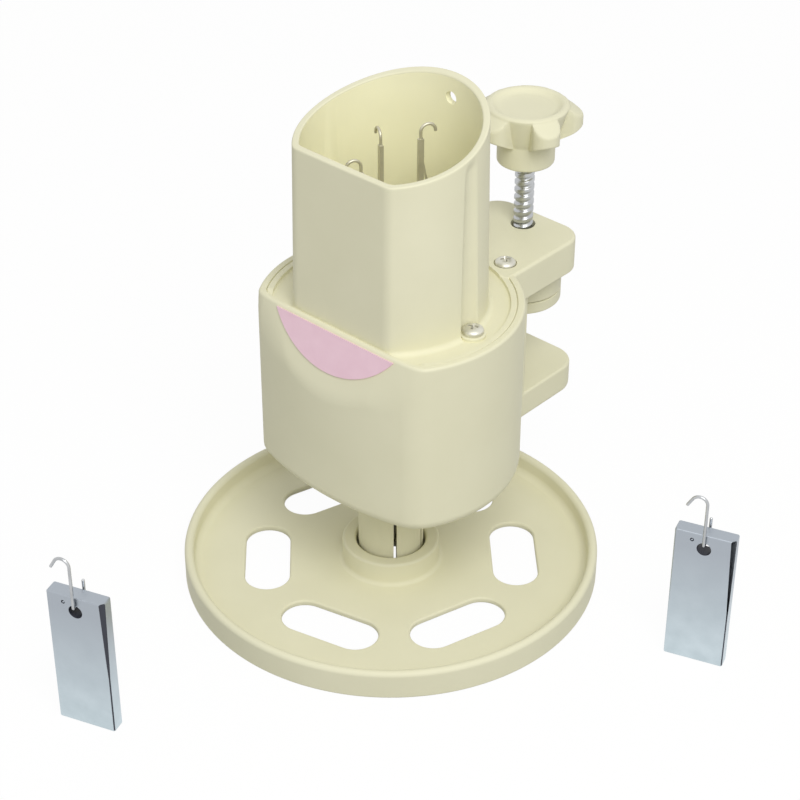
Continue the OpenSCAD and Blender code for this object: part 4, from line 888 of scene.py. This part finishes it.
# Screws of the cover
def make_cover_screws(name, places, seat, length, node):
    """Screws at (x, y, spin) places, with domed heads and crossed recesses."""
    end, dome, top = seat - length, seat + HEAD_RIM_H, seat + SCREW_HEAD_H
    section = [(AXIS_R, end), (SCREW_R - SCREW_TIP_IN, end), (SCREW_R, end + SCREW_TIP_H),
               (SCREW_R, seat), (SCREW_HEAD_R - HEAD_EDGE_IN, seat),
               (SCREW_HEAD_R, seat + HEAD_EDGE_H), (SCREW_HEAD_R, dome)]
    section += [(AXIS_R + (SCREW_HEAD_R - AXIS_R) * math.cos(a), dome + HEAD_DOME_H * math.sin(a))
                for a in quarter(HEAD_STEPS)[1:]]
    shells, recesses = Shells(), []
    for x, y, spin in places:
        shells.lathe(x, y, section, HOLE_STEPS)
        for at in (spin, spin + 90):
            rings = []
            for rise, half, width in (RECESS_FOOT, RECESS_MOUTH):
                plan = [turn(u * half, v * width, at) for u, v in SQUARE]
                rings.append([(x + px, y + py, top + rise) for px, py in plan])
            recesses.append(Shells().loft(rings))
    screws = new_object(name, shells.mesh(name))
    for recess in recesses:
        cut(screws, recess)
    piece(screws, "housing", screw_steel, [node])


# Weights with the tapered bevel down one edge, and their wire hooks
def placed(points, k):
    """Points drawn at the origin, moved to a weight's place."""
    x, y = WEIGHT_PLACES[k]
    made = []
    for point in points:
        px, py = turn(point[0], point[1], WEIGHT_TURN)
        made.append((px + x, py + y, *point[2:]))
    return made


def drill(k, x, depths, z, r, sides):
    """A round cutter into a weight's front."""
    return Shells().wire(placed([(x, y, z) for y in depths], k), r, sides)


def bevel_wedge(k, half_w, half_d):
    """The corner taken off a weight's front edge, wider toward the top."""
    past = BEVEL_W * (BEVEL_LEN + BEVEL_CUT) / BEVEL_LEN
    top = WEIGHT_H + BEVEL_CUT
    wedge = Shells()
    wedge.verts = placed([(half_w, -half_d, WEIGHT_H - BEVEL_LEN), (half_w - past, -half_d, top),
                          (half_w, past - half_d, top),
                          (half_w + BEVEL_CUT, -half_d - BEVEL_CUT, top)], k)
    wedge.faces = [(0, 1, 2), (0, 3, 1), (0, 2, 3), (1, 3, 2)]
    return wedge


def paint_weight_shade_and_reflection(block, k, hole_z, dimple_z):
    """Gives the dark material to the hole's wall and the dimple as painted shade, and to the bevel
    as a painted dark reflection.
    """
    across = Vector(turn(1, -1, WEIGHT_TURN) + (0,)).normalized()
    front = Vector(turn(0, -1, WEIGHT_TURN) + (0,))
    middle = Vector(WEIGHT_PLACES[k] + (0,))
    for face in block.data.polygons:
        at = face.center / MM - middle
        area = face.area / MM ** 2
        aside = at.dot(front.cross(Vector((0, 0, 1))))
        along = abs(face.normal.dot(front)) < NORMAL_SIDE
        in_hole = along and math.hypot(aside, at.z - hole_z) < WEIGHT_HOLE_R + HOLE_MARGIN
        small = area < SMALL_FACE and at.dot(front) > 0 and face.normal.z < NORMAL_SIDE
        off_dimple = math.hypot(abs(aside) - DIMPLE_X, at.z - dimple_z)
        in_dimple = small and off_dimple < DIMPLE_R + DIMPLE_MARGIN
        high = at.z > WEIGHT_H - BEVEL_LEN + BEVEL_CUT
        facing = face.normal.dot(across) > NORMAL_BEVEL
        bevel = high and facing and area > BEVEL_FACE * BEVEL_W
        if in_hole or in_dimple or bevel:
            face.material_index = 1


def make_weight(k):
    half_w, half_d, r = WEIGHT_W / 2, WEIGHT_D / 2, WEIGHT_CORNER
    plan = []
    for x, y, start in ((half_w - r, half_d - r, 0), (r - half_w, half_d - r, 90),
                        (r - half_w, r - half_d, 180), (half_w - r, r - half_d, 270)):
        plan += arc(x, y, r, start, start + 90, WEIGHT_CORNER_STEPS)
    shell = Shells().prism(placed(plan, k), 0, WEIGHT_H, WEIGHT_EDGE, WEIGHT_EDGE)
    block = new_object("weight_%d_block" % (k + 1), shell.mesh("w"))
    hole_z, dimple_z = WEIGHT_H - WEIGHT_HOLE_DROP, WEIGHT_H - DIMPLE_DROP
    through = (-WEIGHT_HOLE_REACH, 0, WEIGHT_HOLE_REACH)
    cut(block, drill(k, 0, through, hole_z, WEIGHT_HOLE_R, DRILL_SIDES))
    shallow = (-half_d - DIMPLE_CUT, -half_d, DIMPLE_D - half_d)
    cut(block, drill(k, -DIMPLE_X, shallow, dimple_z, DIMPLE_R, DIMPLE_SIDES))
    cut(block, bevel_wedge(k, half_w, half_d))
    name = "weight_%d" % (k + 1)
    piece(block, name, zinc, [name], WEIGHT_SHARP)
    # Painted shade in the hole and the dimple, and a painted dark reflection on the bevel
    block.data.materials.append(painted_shade_reflection_zinc)
    paint_weight_shade_and_reflection(block, k, hole_z, dimple_z)


def make_hook(k):
    """Wire from its tail down behind the weight, through the hole and up to the hook in front."""
    low, bend = HOOK_Z + LEG_BEND_R, LEG_BEND_R
    path = [(0, LEG_Y, TAIL_Z), (0, LEG_Y, low)]
    path += [(0, LEG_Y - bend * (1 - math.cos(a)), low - bend * math.sin(a))
             for a in quarter(BEND_STEPS)[1:]]
    path += [(0, bend - LEG_Y - bend * math.sin(a), HOOK_Z + bend * (1 - math.cos(a)))
             for a in quarter(BEND_STEPS)]
    end = math.radians(HOOK_BEND_TURN)
    path += [(HOOK_BEND_R * (math.cos(a) - 1), -LEG_Y, HOOK_BEND_Z + HOOK_BEND_R * math.sin(a))
             for a in (end * i / HOOK_BEND_STEPS for i in range(HOOK_BEND_STEPS + 1))]
    path.append((path[-1][0] - HOOK_TIP * math.sin(end), -LEG_Y,
                 path[-1][2] + HOOK_TIP * math.cos(end)))
    hook = new_object("hook_%d_wire" % (k + 1), Shells().wire(placed(path, k), WIRE_R).mesh("w"))
    piece(hook, "hook_%d" % (k + 1), steel, ["weight_hook_%d" % (k + 1)],
          SCREW_SHARP)


def dress_cad_nodes():
    """Materials of the CAD nodes that stay."""
    needle_parts = ["%s_%d" % (part, k) for part in ("needle", "latch", "latch_pin")
                    for k in range(1, 5)]
    for names, material in ((["needle_carrier", "carrier_sleeve"], cream),
                            (["label_plate"], pink),
                            (["guide_bush", "raising_cam", "stitch_cam", "thrust_washer"], nylon),
                            (["cam_screws", "clamp_nut", "pad_washer"], steel),
                            (needle_parts, needle_steel)):
        for name in names:
            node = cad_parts[name]
            for slot in node.material_slots:
                slot.material = material
            if not node.material_slots:
                node.data.materials.append(material)


make_housing()
make_cover()
make_wheel()
make_clamp_screw()
make_knob()
make_pad()
side_places = [turn(SIDE_SCREW_R, 0, at) + (spin,)
               for at, spin in zip((GROOVE_TURN, 180 - GROOVE_TURN), SIDE_SPINS)]
make_cover_screws("side_screw_pair", side_places, COVER_TOP + SIDE_PAD_H, SIDE_SCREW_LEN,
                  "side_screws")
rear_places = [(x, REAR_Y, spin) for x, spin in zip((-REAR_X, REAR_X), REAR_SPINS)]
make_cover_screws("rear_screw_pair", rear_places, HOUSE_TOP - SCREW_SEAT, REAR_SCREW_LEN,
                  "rear_screws")
for k in range(len(WEIGHT_PLACES)):
    make_weight(k)
    make_hook(k)
dress_cad_nodes()


# Pale floor and white surroundings
def larger(nodes, links, a, b):
    """The larger of two values in a node tree."""
    node = nodes.new("ShaderNodeMath")
    node.operation = "MAXIMUM"
    links.new(a, node.inputs[0])
    links.new(b, node.inputs[1])
    return node.outputs[0]


def paper_material():
    """Matte paper that glows white where it is seen or mirrored, so that shadows stay faint."""
    paper = bpy.data.materials.new("floor_paper")
    paper.use_nodes = True
    nodes, links = paper.node_tree.nodes, paper.node_tree.links
    matte = nodes["Principled BSDF"]
    matte.inputs["Base Color"].default_value = PAPER_GREY
    matte.inputs["Roughness"].default_value = PAPER_ROUGH
    glow = nodes.new("ShaderNodeEmission")
    glow.inputs["Strength"].default_value = PAPER_GLOW
    ray = nodes.new("ShaderNodeLightPath").outputs
    part = nodes.new("ShaderNodeMath")
    part.operation = "MULTIPLY"
    part.inputs[1].default_value = PAPER_GLOW_SHARE
    links.new(larger(nodes, links, ray["Is Camera Ray"], ray["Is Glossy Ray"]), part.inputs[0])
    mixed = nodes.new("ShaderNodeMixShader")
    links.new(part.outputs[0], mixed.inputs[0])
    links.new(matte.outputs[0], mixed.inputs[1])
    links.new(glow.outputs[0], mixed.inputs[2])
    links.new(mixed.outputs[0], nodes["Material Output"].inputs["Surface"])
    return paper


def make_surroundings():
    """White where the world is seen or mirrored, and a softer light from it elsewhere."""
    world = bpy.data.worlds.new("studio")
    bpy.context.scene.world = world
    world.use_nodes = True
    nodes, links = world.node_tree.nodes, world.node_tree.links
    sky, seen_sky = nodes["Background"], nodes.new("ShaderNodeBackground")
    for node, strength in ((sky, SKY_STRENGTH), (seen_sky, SEEN_SKY_STRENGTH)):
        node.inputs["Color"].default_value = WHITE
        node.inputs["Strength"].default_value = strength
    ray = nodes.new("ShaderNodeLightPath").outputs
    direct = larger(nodes, links, ray["Is Camera Ray"], ray["Is Glossy Ray"])
    choice = nodes.new("ShaderNodeMixShader")
    links.new(larger(nodes, links, direct, ray["Is Transmission Ray"]), choice.inputs[0])
    links.new(sky.outputs[0], choice.inputs[1])
    links.new(seen_sky.outputs[0], choice.inputs[2])
    links.new(choice.outputs[0], nodes["World Output"].inputs["Surface"])


def aimed(obj, place, target):
    """Puts a lamp or camera at a place, looking at a target."""
    bpy.context.scene.collection.objects.link(obj)
    obj.location = [v * MM for v in place]
    sight = Vector([(b - a) * MM for a, b in zip(place, target)])
    obj.rotation_euler = sight.to_track_quat("-Z", "Y").to_euler()
    return obj


sheet = Shells()
sheet.verts = [(x * FLOOR_HALF, y * FLOOR_HALF, -FLOOR_DROP)
               for x, y in SQUARE]
sheet.faces = [(0, 1, 2, 3)]
floor = new_object("floor", sheet.mesh("floor"))
floor.data.materials.append(paper_material())
make_surroundings()

key = bpy.data.lights.new("key", "AREA")
key.shape = "DISK"
key.size = KEY_SIZE
key.energy = KEY_POWER
aimed(bpy.data.objects.new("key", key), KEY_PLACE, KEY_TARGET)

camera = bpy.data.cameras.new("view")
camera.sensor_width = VIEW_SENSOR
camera.lens = VIEW_LENS
camera.shift_x = VIEW_SHIFT_X
camera.shift_y = VIEW_SHIFT_Y
camera.clip_start = VIEW_NEAR
viewer = bpy.data.objects.new("view", camera)
bpy.context.scene.camera = aimed(viewer, VIEW_PLACE, VIEW_TARGET)
bpy.context.scene.view_settings.view_transform = "Standard"
